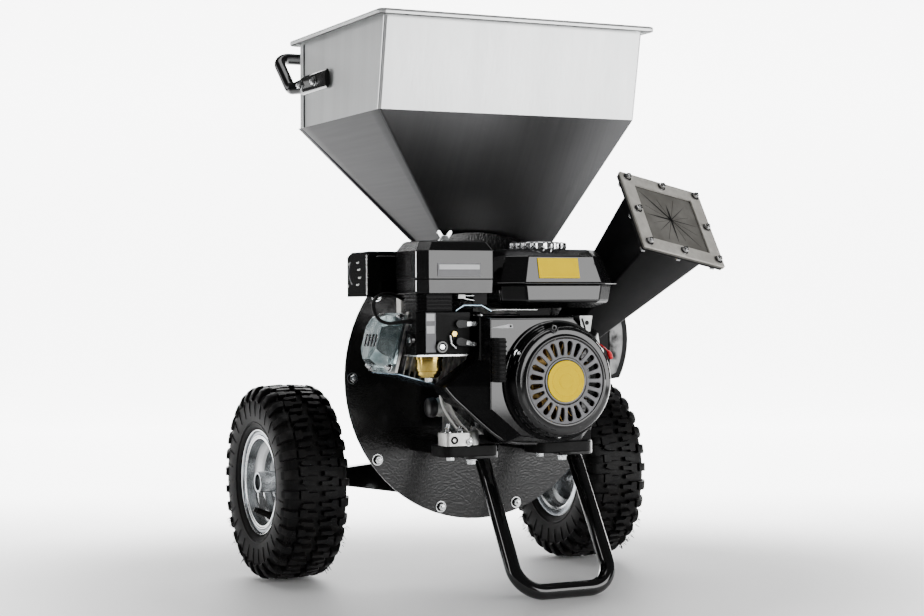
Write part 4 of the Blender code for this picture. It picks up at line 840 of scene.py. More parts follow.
def bolt_places(depth):
    return [MOUTH - AIM * depth + (WIDE * u + TALL * v) * BOLT_LINE for u, v in spots]


def on_flap(u, v, lift=0.0):
    return MOUTH - AIM * (FLAP_FACE - lift) + WIDE * u + TALL * v


frame_face = -(GAP * 2 + FLAP_THICK + FRAME_THICK)
fasteners("chute_bolts", bolt_places(frame_face), AIM, across=0.009, head=0.005, look="bolt")
# Each slit's direction in degrees, its length and half its width
FLAP_SLITS = (
    (135, 0.07, 0.0015), (-90, 0.05, 0.0015), (90, 0.034, 0.0017), (180, 0.048, 0.0015),
    (45, 0.056, 0.0006), (0, 0.052, 0.0006), (-45, 0.064, 0.0008), (-135, 0.05, 0.0005))
# Dark rubber strips over the flap's slits and round its edge are painted shadow.
slits = []
for turn, reach, wide in FLAP_SLITS:
    u, v = math.cos(math.radians(turn)), math.sin(math.radians(turn))
    side = [(u * reach * 0.5 - v * wide * w, v * reach * 0.5 + u * wide * w) for w in (0.8, -0.8)]
    plan = [(-v * wide, u * wide), side[0], (u * reach, v * reach), side[1], (v * wide, -u * wide)]
    rings = [[on_flap(a, b, lift) for a, b in plan] for lift in (0.0, 0.0002)]
    slits.append(lofted("painted_slit_shadow", rings, "rubber"))
border = [
    [on_flap(u, v, lift) for u, v in rounded(-half, half, -half, half, 0.001, 2)]
    for half, lift in ((0.0574, 0.0), (0.0574, 0.0003), (0.0606, 0.0003), (0.0606, 0.0))]
slits.append(lofted("painted_flap_border_shadow", border, "rubber", loop=True))
joined("flap_painted_shadows", slits)
fasteners("chute_nuts", bolt_places(FLANGE), -AIM, across=0.01, head=0.006)

# Discharge hood with a stepped cheek panel
HOOD, HOOD_R, HOOD_LOW_R = (0.153, 0.402), 0.148, 0.1905
low_turns = [math.radians(t) for t in range(38, -8, -4)]
hood_outline = arc(*HOOD, HOOD_R, -28, 60, 16)
hood_outline += [(HOOD_LOW_R * math.cos(t), DRUM_Z + HOOD_LOW_R * math.sin(t)) for t in low_turns]
hood = prism("hood", hood_outline, "y", 0.0076, 0.1243, "satin", bevel=0.0025, segments=3)
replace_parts(hood, "discharge_hood")
cheek = [(0.262, 0.336)] + arc(*HOOD, 0.136, -26, 18, 8) + [(0.262, 0.44)]
prism("hood_cheek", cheek, "y", 0.0056, 0.0074, "cheek", bevel=0.0006)

# Fuel tank of two pressed halves with a seam flange
TANK = (-0.0816, 0.12, -0.266, -0.104)


def eight_sided(x0, x1, y0, y1, cx, cy):
    """A rectangle with blunt corners."""
    return [
        (x0 + cx, y0), (x1 - cx, y0), (x1, y0 + cy), (x1, y1 - cy),
        (x1 - cx, y1), (x0 + cx, y1), (x0, y1 - cy), (x0, y0 + cy)]


def tank_ring(z, left, right, front, back, cx, cy):
    """The tank's outline at a height, drawn in on its four sides."""
    outline = eight_sided(TANK[0] + left, TANK[1] - right, TANK[2] + front, TANK[3] - back, cx, cy)
    return [(x, y, z) for x, y in outline]


lower = lofted("tank_lower", [
    tank_ring(0.4567, 0.022, 0.028, 0.018, 0.022, 0.03, 0.022),
    tank_ring(0.466, 0.004, 0.006, -0.0002, 0.004, 0.032, 0.024),
    tank_ring(0.4942, 0, 0, 0, 0, 0.033, 0.024)], "gloss", bevel=0.0042, segments=4)
upper = lofted("tank_upper", [
    tank_ring(0.4963, 0, 0, 0, 0, 0.033, 0.024), tank_ring(0.5375, 0.014, 0.016, 0.0065, 0.01, 0.028, 0.024),
    tank_ring(0.549, 0.026, 0.018, 0.028, 0.026, 0.024, 0.02)], "gloss", bevel=0.0042, segments=4)
# Faces that look right or down get the duller copy of the gloss as painted shade.
for half in (lower, upper):
    recoloured(half, "dim", lambda face: face.normal.x > 0.25 or face.normal.z < -0.5)
seam_plan = [p[:2] for p in tank_ring(0, -0.007, -0.007, -0.006, -0.006, 0.036, 0.026)]
seam = prism("tank_seam", seam_plan, "z", 0.4938, 0.4965, "gloss", bevel=0.0011, segments=3)
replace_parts(joined("tank_top_half", [upper, seam]), "fuel_tank")
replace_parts(lower, "fuel_tank")
patch = mm((-24, -265.6, 503), (48, -265.6, 503), (47, -260.6, 534.5), (-25, -260.6, 534.5))
slab("plain_yellow_patch", patch, 0.0003, "yellow", lift=0.0003)
CAP = (0.0145, -0.19)
CAP_TOP = 0.5633
KNURLS = 20


def cap_ring(z, r, wave):
    """A circle round the cap, waved by its knurls."""
    rays = [(t, r + wave * math.cos(KNURLS * t)) for t in round_turns(KNURLS * 6)]
    return [(CAP[0] + reach * math.cos(t), CAP[1] + reach * math.sin(t), z) for t, reach in rays]


# The cap's rings: height, radius and depth of the knurls
CAP_RINGS = (
    (0.5494, 0.043, 0.0), (0.55, 0.044, 0.001), (0.5506, 0.0443, 0.0015), (0.559, 0.0443, 0.0015),
    (0.5602, 0.0438, 0.001), (0.561, 0.042, 0.0), (0.5614, 0.033, 0.0), (0.5606, 0.0315, 0.0),
    (0.5606, 0.024, 0.0), (0.5625, 0.0225, 0.0), (CAP_TOP - 0.0002, 0.012, 0.0))
cap = lofted("tank_cap", [cap_ring(*ring) for ring in CAP_RINGS], "chrome", "tank_cap", smooth=50.0)
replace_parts(cap, "fuel_cap")

# Fan shroud, recoil starter and its yellow disc
SHROUD_Y, SHROUD_BACK, LIP_Y = -0.2753, -0.2003, -0.246
shroud_outer = mm((-178, 337), (-166, 319), (-78, 247.5), (0, 245.2), (60, 247), (96, 287), (105.5, 345),
    (93, 418), (46, 445), (-118, 445), (-118, 378))
shroud_front = mm((-115, 372), (-115, 302), (-64, 260), (-4, 249.5), (30, 256), (62, 283), (83, 320),
    (86.5, 345), (82, 375), (66, 402), (30, 440.5), (-115, 440.5), (-115, 378))
HOLE_R = 0.079
ray_turns = round_turns(96)
inner_hole = [(HOLE_R * math.cos(t), DRUM_Z + HOLE_R * math.sin(t)) for t in ray_turns]


def hub_turn(point):
    return math.atan2(point[1] - DRUM_Z, point[0]) % (2 * math.pi)


def cast_round(outline, turns):
    """Where rays from the hub meet an outline."""
    found = []
    for t in turns:
        out = Vector((math.cos(t), math.sin(t)))
        reach = 0.0
        for (ax, az), (bx, bz) in zip(outline, outline[1:] + outline[:1]):
            a, d = Vector((ax, az - DRUM_Z)), Vector((bx - ax, bz - az))
            turned_by = out.x * d.y - out.y * d.x
            if abs(turned_by) < 1e-9:
                continue
            far = (a.x * d.y - a.y * d.x) / turned_by
            share = (a.x * out.y - a.y * out.x) / turned_by
            if far > 0 and -1e-6 <= share <= 1 + 1e-6:
                reach = max(reach, far)
        found.append((out.x * reach, DRUM_Z + out.y * reach))
    return found


corner_turns = [hub_turn(p) for p in shroud_outer + shroud_front]
hub_turns = sorted({round(t, 4) for t in ray_turns + corner_turns})
outer_cast, front_cast = cast_round(shroud_outer, hub_turns), cast_round(shroud_front, hub_turns)
hole_cast = cast_round(inner_hole, hub_turns)


def at_depth(points, y, shrink=1.0):
    return [(x * shrink, y, DRUM_Z + (z - DRUM_Z) * shrink) for x, z in points]


shroud = lofted("shroud", [
    at_depth(outer_cast, SHROUD_BACK), at_depth(outer_cast, -0.243), at_depth(outer_cast, LIP_Y, 0.985),
    at_depth(front_cast, SHROUD_Y + 0.0012), at_depth(front_cast, SHROUD_Y, 0.985),
    at_depth(hole_cast, SHROUD_Y), at_depth(hole_cast, SHROUD_Y + 0.002),
    at_depth(outer_cast, SHROUD_Y + 0.036, 0.96), at_depth(outer_cast, SHROUD_BACK, 0.975)], "gloss",
    loop=True, smooth=26.0)
# All but the flat front get the duller copy of the gloss, as painted shade.
recoloured(shroud, "dim", lambda face: face.normal.y > -0.97)
lip = [(-0.177, -0.244, 0.336), (-0.162, -0.245, 0.319), (-0.138, LIP_Y, 0.298), (-0.112, LIP_Y, 0.276),
    (-0.088, LIP_Y, 0.258), (-0.062, -0.2455, 0.248), (-0.02, -0.245, 0.2455)]
pointer = mm((-115, 426.8), (-84, 432.2), (-77, 431.8), (-76.2, 426.6), (-84, 426.2))
casting = mm((46, 444), (48, 429), (56, 418.5), (65, 419.5), (69, 444))
red_route = mm((65, -270, 401), (72, -285, 399), (81, -290, 391), (86, -290, 386))
edge_line = [(-0.115, SHROUD_Y, 0.302), (-0.115, SHROUD_Y, 0.4405), (0.03, SHROUD_Y, 0.4405)]
hole_at = (-0.0806, SHROUD_Y - 0.0015, 0.4292)
plug_ends = mm((84, -290, 389), (86.5, -289, 385), (91, -287, 377))
trim = [
    tube("shroud_lip", flowing(lip, 6), 0.0026, "gloss", sides=16, smooth=60.0),
    wire("shroud_edge_line", edge_line, 0.0011, "gloss"),
    prism("pointer", pointer, "y", SHROUD_Y - 0.0014, SHROUD_Y - 0.0002, "white", bevel=0.0003),
    turned("pointer_hole", hole_at, FORWARD, stub(0, 0.0004, 0.0018), 16, "satin"),
    prism("shroud_casting", casting, "y", -0.268, -0.23, "alloy", bevel=0.0025, segments=3),
    # The casting's hole is a dark disc: painted shade.
    turned("casting_hole_shade", (0.059, -0.2681, 0.433), FORWARD, stub(0, 0.0004, 0.0036), 24, "satin"),
    wire("casting_rib", [(0.05, -0.2685, 0.44), (0.056, -0.2685, 0.423)], 0.0012, "satin"),
    wire("red_wire", flowing(red_route), 0.0011, "red"),
    tube("red_connector", plug_ends, [0.0022, 0.004, 0.0036], "red", smooth=50.0),
]
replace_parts(joined("shroud_whole", [shroud] + trim), "fan_shroud")
FACE = -0.3046
# The recoil cover's section, as depths and radii
BELL = mm((-275.6, 70), (-275.6, 93.2), (-276.4, 94), (-279, 94), (-279.8, 93.2), (-280, 90.5),
    (-280.8, 89.3), (-284, 88.5), (-295, 85), (-299, 83.4), (-301.5, 81.2), (-302.6, 78), (-302.2, 73.5),
    (-303, 71.5), (-304.4, 70), (-304.6, 68.6), (-304, 66.8), (-300, 66.2), (-296, 69))
housing = [turned("recoil_cover", HUB, BACKWARD, BELL, 120, "gloss", smooth=40.0)]
# A band of the bell's depths gets the duller copy of the gloss, as painted shade.
recoloured(housing[0], "dim", lambda face: -0.2985 < face.center.y - PLATE_FACE < -0.2766)


def on_bell(turn, r, y):
    """A place on the recoil cover at a direction in degrees, a radius and a depth."""
    t = math.radians(turn)
    return (r * math.cos(t), y, DRUM_Z + r * math.sin(t))


for r, y, first, last in (
        (0.093, -0.2806, 96, 176), (0.0888, -0.2838, 108, 166), (0.0866, -0.2905, 110, 162),
        (0.0846, -0.2965, 112, 158), (0.079, -0.3027, 114, 154)):
    route = [on_bell(first + (last - first) * k / 14, r, y) for k in range(15)]
    housing.append(wire("bell_rib", route, 0.0009, "gloss"))
for row, (r, y) in enumerate(((0.0884, -0.285), (0.0862, -0.2915), (0.0838, -0.2985), (0.0768, -0.3026))):
    for k in range(5):
        first = 208 + k * 9.5 + row * 1.5
        housing.append(wire("bell_slot", [on_bell(first + j * 1.6, r, y) for j in range(5)], 0.0012, "gloss"))
BUMP = mm((-26.2, -303.6, 425.5), (-23.5, -304.6, 420.5), (-19.2, -305, 418.8), (-15, -304.6, 421),
    (-12.5, -303.6, 426.2))
notch = [on_bell(118, 0.085, -0.295), on_bell(108, 0.0842, -0.2985), on_bell(103, 0.0838, -0.301)] + BUMP
notch += [on_bell(93, 0.0838, -0.301), on_bell(88, 0.0842, -0.2985), on_bell(78, 0.085, -0.295)]
housing.append(wire("bell_notch", flowing(notch, 6), 0.001, "gloss", smooth=60.0))
boss = mm((2, 2.8), (2, 5.2), (4.5, 5.2), (5, 4.6), (5, 2.8))
housing.append(turned("notch_boss", (-0.0194, -0.299, 0.4262), FORWARD, boss, 24, "gloss", smooth=60.0))
LUG_FACE = -0.2852
lug = mm((0, 0), (0, 10.5), (8.5, 9), (9.5, 7.8), (9.5, 0))
lugs = []
for spot_x, spot_z in ((-0.0729, 0.3863), (-0.002, 0.2624), (0.0707, 0.387)):
    lugs.append(turned("recoil_lug", (spot_x, -0.2757, spot_z), FORWARD, lug, 32, "gloss", smooth=60.0))
    at = (spot_x, LUG_FACE, spot_z)
    lugs.append(hex_bolt("recoil_bolt", at, FORWARD, across=0.0085, head=0.0045, look="chrome"))
joined("recoil_lugs", lugs)
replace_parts(joined("recoil_cover", housing), "recoil_housing")

# Grille: a domed ring with 24 rounded slots
SLOT_COUNT, GRILLE_OUT, GRILLE_IN = 24, 0.0656, 0.0372
BLADES, BLADE_ROOT, BLADE_TIP = 22, 0.036, 0.07


def spoke(turn):
    """The ways outwards and aside at a direction from the hub."""
    return Vector((math.cos(turn), 0, math.sin(turn))), Vector((-math.sin(turn), 0, math.cos(turn)))


def grille_points(layer):
    """Border and slot outlines of one sector, as radius and angle pairs."""
    half = math.pi / SLOT_COUNT
    width = 0.0284
    border = [(GRILLE_OUT, -half + half * k / 3) for k in range(7)]
    border += [(GRILLE_OUT - width * k / 5, half) for k in range(1, 5)]
    border += [(GRILLE_IN, half - half * k / 3) for k in range(7)]
    border += [(GRILLE_IN + width * k / 5, -half) for k in range(1, 5)]
    wide, slim, far, near = 0.0046 - layer, 0.0028 - layer, 0.0582, 0.043
    turns = [math.radians(30 * k) for k in range(-3, 4)]
    slot = [(far + wide * math.cos(t), wide * math.sin(t)) for t in turns]
    slot += [(far + (near - far) * k / 5, wide + (slim - wide) * k / 5) for k in range(1, 5)]
    turns = [math.radians(30 * k) for k in range(7)]
    slot += [(near - slim * math.sin(t), slim * math.cos(t)) for t in turns]
    slot += [(near + (far - near) * k / 5, -slim - (wide - slim) * k / 5) for k in range(1, 5)]
    return border, slot


def grille_place(r, turn, across, y):
    out, side = spoke(turn)
    dome = 0.0016 * ((r - 0.051) / 0.0145) ** 2
    return Vector(HUB) + out * r + side * across + Vector((0, y + dome, 0))


work = bmesh.new()
for k in range(SLOT_COUNT):
    turn = 2 * math.pi * (k + 0.5) / SLOT_COUNT
    loops = []
    for y, layer in ((FACE + 0.0022, 0.0), (FACE - 0.0002, 0.0), (FACE - 0.0008, -0.0006)):
        border, slot = grille_points(layer)
        edge = [work.verts.new(grille_place(r, turn + t, 0.0, y)) for r, t in border]
        loops.append((edge, [work.verts.new(grille_place(r, turn, a, y)) for r, a in slot]))
    last = len(loops[0][0])
    for i in range(last):
        j = (i + 1) % last
        (back_b, back_s), (_, wall_s), (top_b, top_s) = loops
        work.faces.new((top_b[i], top_b[j], top_s[j], top_s[i]))
        work.faces.new((top_s[i], top_s[j], wall_s[j], wall_s[i]))
        work.faces.new((wall_s[i], wall_s[j], back_s[j], back_s[i]))
        work.faces.new((back_b[i], back_b[j], back_s[j], back_s[i]))
        if i < 6 or 11 <= i < 17:
            work.faces.new((top_b[i], top_b[j], back_b[j], back_b[i]))
bmesh.ops.delete(work, geom=[v for v in work.verts if not v.link_faces], context="VERTS")
bmesh.ops.remove_doubles(work, verts=work.verts, dist=0.00002)
slotted = finish_piece("slotted_grille", mesh_from("slotted_grille", work), "grille", smooth=32.0)
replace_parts(slotted, "recoil_grille")
blades = []
for turn in round_turns(BLADES):
    out, side = spoke(turn)
    ends = ((Vector(HUB) + out * BLADE_ROOT, -0.256), (Vector(HUB) + out * BLADE_TIP + side * 0.008, -0.264))
    rings = [[p + side * b + Vector((0, y, 0)) for y, b in (
        (-0.242, -0.0011), (-0.242, 0.0011), (front, 0.0011), (front, -0.0011))] for p, front in ends]
    blades.append(lofted("fan_blade", rings, "fan", "rotor", bevel=0.0004))
joined("fan_blades", blades)

# Starter cup and its disc with two fine rings
cup = mm((-286.6, 0), (-286.6, 36.6), (-303.6, 36.6), (-304.6, 36), (-305, 34), (-304.6, 32.6), (-304, 0))
hub_disc = turned("starter_cup", HUB, BACKWARD, cup, 96, "gloss")
disc = mm((-304.1, 0), (-304.1, 31.8), (-305.6, 32), (-306.1, 31.4), (-305.8, 30.2), (-305.8, 24),
    (-305.5, 23.7), (-305.8, 23.4), (-305.8, 12), (-305.5, 11.7), (-305.8, 11.4), (-305.9, 0))
disc = turned("yellow_disc", HUB, BACKWARD, disc, 96, "yellow", smooth=20.0)
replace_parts(hub_disc, "starter_hub")
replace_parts(disc, "starter_hub")

# Ribbed starter grip
core_plan = rounded(-0.115, -0.0967, -0.296, -0.2757, 0.006)
rib_plan = rounded(-0.1165, -0.0952, -0.2975, -0.2757, 0.007)
body = "starter_grip"
grip = [prism("grip_core", core_plan, "z", 0.344, 0.4115, "rubber", body, bevel=0.002, segments=3)]
for k in range(9):
    z = 0.3495 + k * 0.007
    grip.append(prism("grip_rib", rib_plan, "z", z - 0.0017, z + 0.0017, "rubber", body, bevel=0.0009))
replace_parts(joined("starter_grip_handle", grip), "recoil_grip")

# Stop switch
edge = Vector((-0.0125, 0, 0.073)).normalized()
out = Vector((edge.z, 0, -edge.x))
seat = Vector((0.1055, -0.222, 0.345)) + edge * 0.026
knob = mm((0.3, 0), (0.3, 8.5), (2, 8.8), (8.5, 8), (10, 6.8), (10, 0))
switch = turned("red_switch", seat, out, knob, 32, "red", "switch")
key_plan = ((-0.006, -0.0015), (0.006, -0.0015), (0.006, 0.0015), (-0.006, 0.0015))
key_corners = [seat + out * 0.0098 + edge * a + Vector((0, b, 0)) for a, b in key_plan]
key = slab("switch_bar", key_corners, 0.003, "red", "switch", bevel=0.0006)
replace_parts(joined("red_switch_knob", [switch, key]), "stop_switch")

# Crankcase casting with feet, bosses and oil filler neck
FOOT_SHIFT = -0.0165
half_case = mm((88, 253.6), (88, 410), (58, 440), (30, 440), (30, 456.4))
case_plan = [(-0.088, 0.2536)] + half_case + [(-x, z) for x, z in half_case[:0:-1]]
case = prism("case", case_plan, "y", -0.1995, -0.045, "alloy", bevel=0.003, segments=3)
feet = block("feet", (-0.121, -0.2, 0.2438), (0.104, -0.108, 0.26), "alloy", bevel=0.0035, segments=3)
# The casting's front faces and the feet's front and right faces are painted black as shade.
recoloured(case, "dim", lambda face: face.normal.y < -0.2)
recoloured(feet, "dim", lambda face: face.normal.y < -0.2 or face.normal.x > 0.2)
foot_boss = mm((243.8, 0), (243.8, 12.5), (264.5, 11), (266.1, 10), (266.1, 0))
boss_places = [(x + FOOT_SHIFT, y, 0) for x in (-0.096, 0.066) for y in (-0.1265, -0.202)]
bosses = [turned("foot_boss", at, UP, foot_boss, 32, "alloy") for at in boss_places]
foot_plan = rounded(-0.164, -0.12, -0.22, -0.185, 0.006)
bosses.append(prism("foot_pad", foot_plan, "z", 0.2438, 0.264, "foot", bevel=0.0035, segments=3))
hole_rim = mm((0, 2.8), (0, 6.2), (1.2, 5.8), (1.2, 3.4))
bosses.append(turned("foot_hole", (-0.15, -0.2202, 0.253), FORWARD, hole_rim, 28, "satin"))
sweep_rib = mm((-166.8, -205.5, 323), (-161.5, -205.5, 303.4), (-149, -205.5, 282.6), (-135, -205.5, 264))
bosses.append(tube("sweep_rib", flowing(sweep_rib, 6), 0.0026, "foot", smooth=60.0))
sweep_web = mm((-156, -201, 323), (-149, -201, 302), (-135, -201, 280), (-118, -201, 262))
bosses.append(tube("sweep_web", flowing(sweep_web, 6), (0.003, 0.0085), "foot", sides=16, smooth=60.0))
for x, y, z in ((-0.156, -0.208, 0.264), (-0.1345, -0.208, 0.264), (-0.125, -0.216, 0.25)):
    way = UP if z > 0.26 else FORWARD
    bosses.append(hex_bolt("foot_bolt", (x, y, z), way, across=0.009, head=0.005, look="chrome"))
rib_plan = mm((-126, 259.5), (-88, 259.5), (-88, 292))
ribs = []
for k in range(5):
    y = -0.205 + k * 0.02
    ribs.append(prism("case_rib", rib_plan, "y", y - 0.0016, y + 0.0016, "alloy", bevel=0.0008))
spigot = mm((-60, 0), (-60, 75), (-46, 75), (-44, 56), (-0.4, 56), (-0.4, 0))
spigot = turned("spigot", HUB, BACKWARD, spigot, 64, "alloy")
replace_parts(joined("crankcase_casting", [case, feet, spigot] + bosses + ribs), "crankcase")
OIL = (-0.088, -0.182, 0.303)
NECK_LENGTH = 0.0776
oil_neck = mm((-4, 0), (-4, 18.5), (10, 18), (12, 16))
for k in range(7):
    a, thread, root = 0.014 + k * 0.0088, 0.016 - k * 0.00015, 0.015 - k * 0.0001
    oil_neck += [(a, root), (a + 0.0018, thread), (a + 0.005, thread), (a + 0.0068, root)]
oil_neck += [(NECK_LENGTH, 0.0135), (NECK_LENGTH, 0)]
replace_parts(turned("oil_neck", OIL, (-1, 0, 0), oil_neck, 40, "alloy"), "crankcase")
stick_at = (OIL[0] - 0.0783, OIL[1], OIL[2])
cap_profile = mm((0, 0), (0, 14.8), (2, 15.8), (9.5, 15.5), (12, 13.8), (13, 11), (13, 0))
stick = turned("dipstick_cap", stick_at, (-1, 0, 0), cap_profile, 16, "plastic", "dipstick", bevel=0.0006)
rod = turned("dipstick_rod", stick_at, (-1, 0, 0), stub(-0.11, 0.001, 0.003), 16, "steel", "dipstick")
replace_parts(joined("dipstick_whole", [stick, rod]), "oil_dipstick")

# Cylinder with fins, leaning up to the left, and its head cover
TILT = math.radians(15)
ahead = Vector((-math.cos(TILT), 0, math.sin(TILT)))
upward = Vector((math.sin(TILT), 0, math.cos(TILT)))
CYL = (-0.185, -0.095)
COVER_TOP, SLOT_ENDS = 0.0325, (-0.014, 0.006)
CYL_END = 0.2317


def tilted(u, v):
    p = ahead * u + upward * v
    return (p.x, DRUM_Z + p.z)


FIN_HALF, FIN_THICK, FIN_STEP, FIRST_FIN, FINS = 0.047, 0.0024, 0.0098, 0.1065, 12


def across_cylinder(near, far):
    return [tilted(far, FIN_HALF), tilted(near, FIN_HALF), tilted(near, -FIN_HALF), tilted(far, -FIN_HALF)]


barrel_end = CYL_END - 0.014
barrel_plan = [(-0.0883, 0.3196), tilted(barrel_end, -0.036), tilted(barrel_end, 0.036), (-0.0883, 0.409)]
barrel = [prism("barrel", barrel_plan, "y", CYL[0] + 0.009, CYL[1] - 0.009, "alloy", bevel=0.004, segments=3)]
for k in range(FINS):
    u = FIRST_FIN + k * FIN_STEP
    barrel.append(prism("fin", across_cylinder(u, u + FIN_THICK), "y", *CYL, "alloy", bevel=0.0006))
barrel.append(prism("head_face", across_cylinder(CYL_END, CYL_END - 0.006), "y", *CYL, "alloy", bevel=0.0008))
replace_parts(joined("finned_cylinder", barrel), "cylinder")


def on_cylinder(u, y, v):
    x, z = tilted(u, v)
    return (x, y, z)


def cover_ring(u, half_y, half_v, c):
    outline = eight_sided(-half_y, half_y, -half_v, half_v, c, c)
    return [on_cylinder(u, (CYL[0] + CYL[1]) / 2 + a, b) for a, b in outline]


head_cover = lofted("head_cover", [
    cover_ring(CYL_END + 0.0003, 0.045, 0.047, 0.014), cover_ring(CYL_END + 0.0048, 0.045, 0.047, 0.014),
    cover_ring(CYL_END + 0.0052, 0.039, 0.041, 0.015), cover_ring(CYL_END + 0.023, 0.036, 0.039, 0.016),
    cover_ring(CYL_END + COVER_TOP, 0.03, 0.033, 0.016)], "cover_alloy", bevel=0.0028, segments=4)
trims = []
# Each slot is a dark strip as painted shade, with a chrome line beside it as painted highlight.
for y in (-0.125, -0.1375, -0.15, -0.1625):
    route = [on_cylinder(CYL_END + COVER_TOP, y, v) for v in SLOT_ENDS]
    trims.append(tube("cover_slot", route, (0.0022, 0.0008), "satin"))
    route = [on_cylinder(CYL_END + 0.0326, y - 0.0032, v) for v in SLOT_ENDS]
    trims.append(wire("cover_slot_highlight", route, 0.0007, "chrome"))
for y, v in ((-0.178, -0.04), (-0.102, -0.04), (-0.178, 0.04), (-0.102, 0.04)):
    at = on_cylinder(CYL_END + 0.0048, y, v)
    trims.append(hex_bolt("cover_bolt", at, ahead, across=0.0085, head=0.005, look="chrome"))
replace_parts(joined("head_cover_whole", [head_cover] + trims), "rocker_cover")
guide_ends = ((0.13, -0.0474), (CYL_END - 0.002, -0.0474), (CYL_END - 0.002, -0.049), (0.13, -0.049))
guide = [tilted(u, v) for u, v in guide_ends]
guide = prism("cooling_guide", guide, "y", CYL[0] - 0.012, CYL[1], "blue_zinc", bevel=0.0005)
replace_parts(guide, "air_guide")

# Spark plug and its lead
plug_at = Vector((-0.2045, CYL[0] - 0.0003, 0.436))
plug = turned("plug_hex", plug_at, FORWARD, stub(0, 0.006, 0.008), 6, "chrome", bevel=0.0005)
plug_body = turned("plug_body", plug_at, FORWARD, stub(0.0055, 0.0105, 0.0045), 24, "white")
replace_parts(joined("plug_whole", [plug, plug_body]), "spark_plug")
lead = mm((-204.5, -196.2, 436), (-205, -200.1, 436), (-207.5, -203.1, 436.5), (-211.5, -204.5, 437),
    (-217, -204.5, 437.5), (-229, -201, 437), (-240, -196.5, 435.2), (-250, -193, 435), (-260, -188, 439.5),
    (-266, -182.5, 450), (-266, -176, 462), (-260, -169, 472), (-249, -163, 478.5), (-236, -158.5, 480.5),
    (-221.5, -155, 478.5), (-206, -151.5, 472.5), (-190, -150, 468.5), (-168, -149.5, 465.5),
    (-142, -152, 463), (-122, -162, 458.5), (-106, -178, 452), (-98.5, -194, 449), (-96.5, -209.5, 448.1))
route = flowing(lead)
sizes = [0.0045] * 21 + [0.004, 0.0034] + [0.0028] * (len(route) - 23)
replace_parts(tube("ignition_lead", route, sizes, "rubber", sides=16, smooth=60.0), "plug_lead")

# Muffler in its heat shield
S0, S1 = Vector((-0.255, -0.1255, 0.476)), Vector((-0.15, -0.045, 0.547))
CUT_Y, CUT_Z, TIN = -0.064, 0.54, 0.0015
side_plan = [(S0.y, S0.z), (S1.y, S0.z), (S1.y, CUT_Z), (CUT_Y, S1.z), (S0.y, S1.z)]
slant = [(CUT_Y, S1.z), (S1.y, CUT_Z), (S1.y, CUT_Z - TIN), (CUT_Y, S1.z - TIN)]
fold = mm((-60, 532), (-56, 527), (-52.8, 513.2), (-60.9, 500.2), (-68, 496))
fold = [(S0.x, y, z) for y, z in fold]
edge_x, edge_y = S0.x + 0.0008, S0.y + 0.0008
shell = [
    prism("shield_left", side_plan, "x", S0.x, S0.x + TIN, "gloss", bevel=0.0006),
    block("shield_front", (S0.x + 0.001, S0.y, S0.z), (S1.x, S0.y + TIN, S1.z), "gloss", bevel=0.0006),
    block("shield_top", (S0.x + 0.001, S0.y + 0.001, S1.z - TIN), (S1.x, CUT_Y, S1.z), "gloss", bevel=0.0006),
    prism("shield_slant", slant, "x", S0.x + 0.001, S1.x, "gloss"),
    prism("shield_right", side_plan, "x", S1.x - TIN, S1.x, "gloss", bevel=0.0006),
    # Chrome lines on the black shield's front edge and top are painted highlights.
    tube("shield_edge_highlight", [(edge_x, edge_y, 0.479), (edge_x, edge_y, 0.5416)], 0.0016, "chrome"),
    tube("shield_lip", [(x, edge_y, S1.z - 0.0008) for x in (S0.x + 0.002, S1.x - 0.002)], 0.0014, "gloss"),
    tube("shield_top_highlight", [(-0.2375, S0.y, 0.54), (-0.2066, S0.y, 0.54)], 0.0008, "chrome"),
    # The raised arc is real; its light grey is a painted highlight.
    tube("shield_arc_highlight", flowing(fold, 6), 0.0012, "grille"),
]
# The slots are drawn as light wires: painted glints on their edges.
for y, z in ((-0.0902, 0.5299), (-0.0941, 0.5187), (-0.098, 0.506), (-0.0896, 0.495)):
    route = [(S0.x, y - 0.005, z + 0.0016), (S0.x, y, z), (S0.x, y + 0.005, z + 0.0004)]
    shell.append(wire("shield_slot_glint", route, 0.0015, "alloy"))
for y, z in ((-0.053, 0.529), (-0.05, 0.494)):
    dot = mm((0, 0), (0, 2.4), (0.8, 1.9), (0.8, 0))
    shell.append(turned("shield_dot", (S0.x, y, z), (-1, 0, 0), dot, 16, "alloy"))
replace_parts(joined("heat_shield", shell), "muffler_shield")


def round_front(x0, x1, y0, y1, r, c):
    """A plan with a big blunt corner at its front left."""
    return [
        (x0, y0 + r), (x0 + r, y0), (x1 - c, y0), (x1, y0 + c),
        (x1, y1 - c), (x1 - c, y1), (x0 + c, y1), (x0, y1 - c)]


# Air cleaner: two-part cover, ribbed base, plate and wing nut
def cleaner_ring(z, inset):
    plan = round_front(-0.2205 + inset, -0.0945 - inset, -0.25 + inset, -0.157 - inset, 0.0147, 0.003)
    return [(x, y, z) for x, y in plan]


tray_rings = [cleaner_ring(0.4805, 0.0008), cleaner_ring(0.5008, 0.0)]
tray = lofted("cleaner_tray", tray_rings, "cleaner", bevel=0.0014, segments=3, smooth=25.0)
core = lofted("cleaner_core", [cleaner_ring(0.5, 0.0016), cleaner_ring(0.5034, 0.0016)], "rubber")
lid_levels = ((0.5026, 0.0), (0.5455, 0.0), (0.559, 0.0085), (0.561, 0.012))
lid_rings = [cleaner_ring(z, inset) for z, inset in lid_levels]
lid = lofted("cleaner_lid", lid_rings, "cleaner", bevel=0.0014, segments=3, smooth=25.0)
label_x, label_z = (-0.1915, -0.118), (0.5258, 0.506)
strip = front_slab("cleaner_plain_strip", label_x, label_z, -0.25, 0.0006, "grille", bevel=0.0002)
band_x, band_z = (-0.189, -0.1205), (0.524, 0.5165)
band = front_slab("cleaner_light_band", band_x, band_z, -0.2512, 0.0003, "white", lift=0.0002)
corner_highlights = []
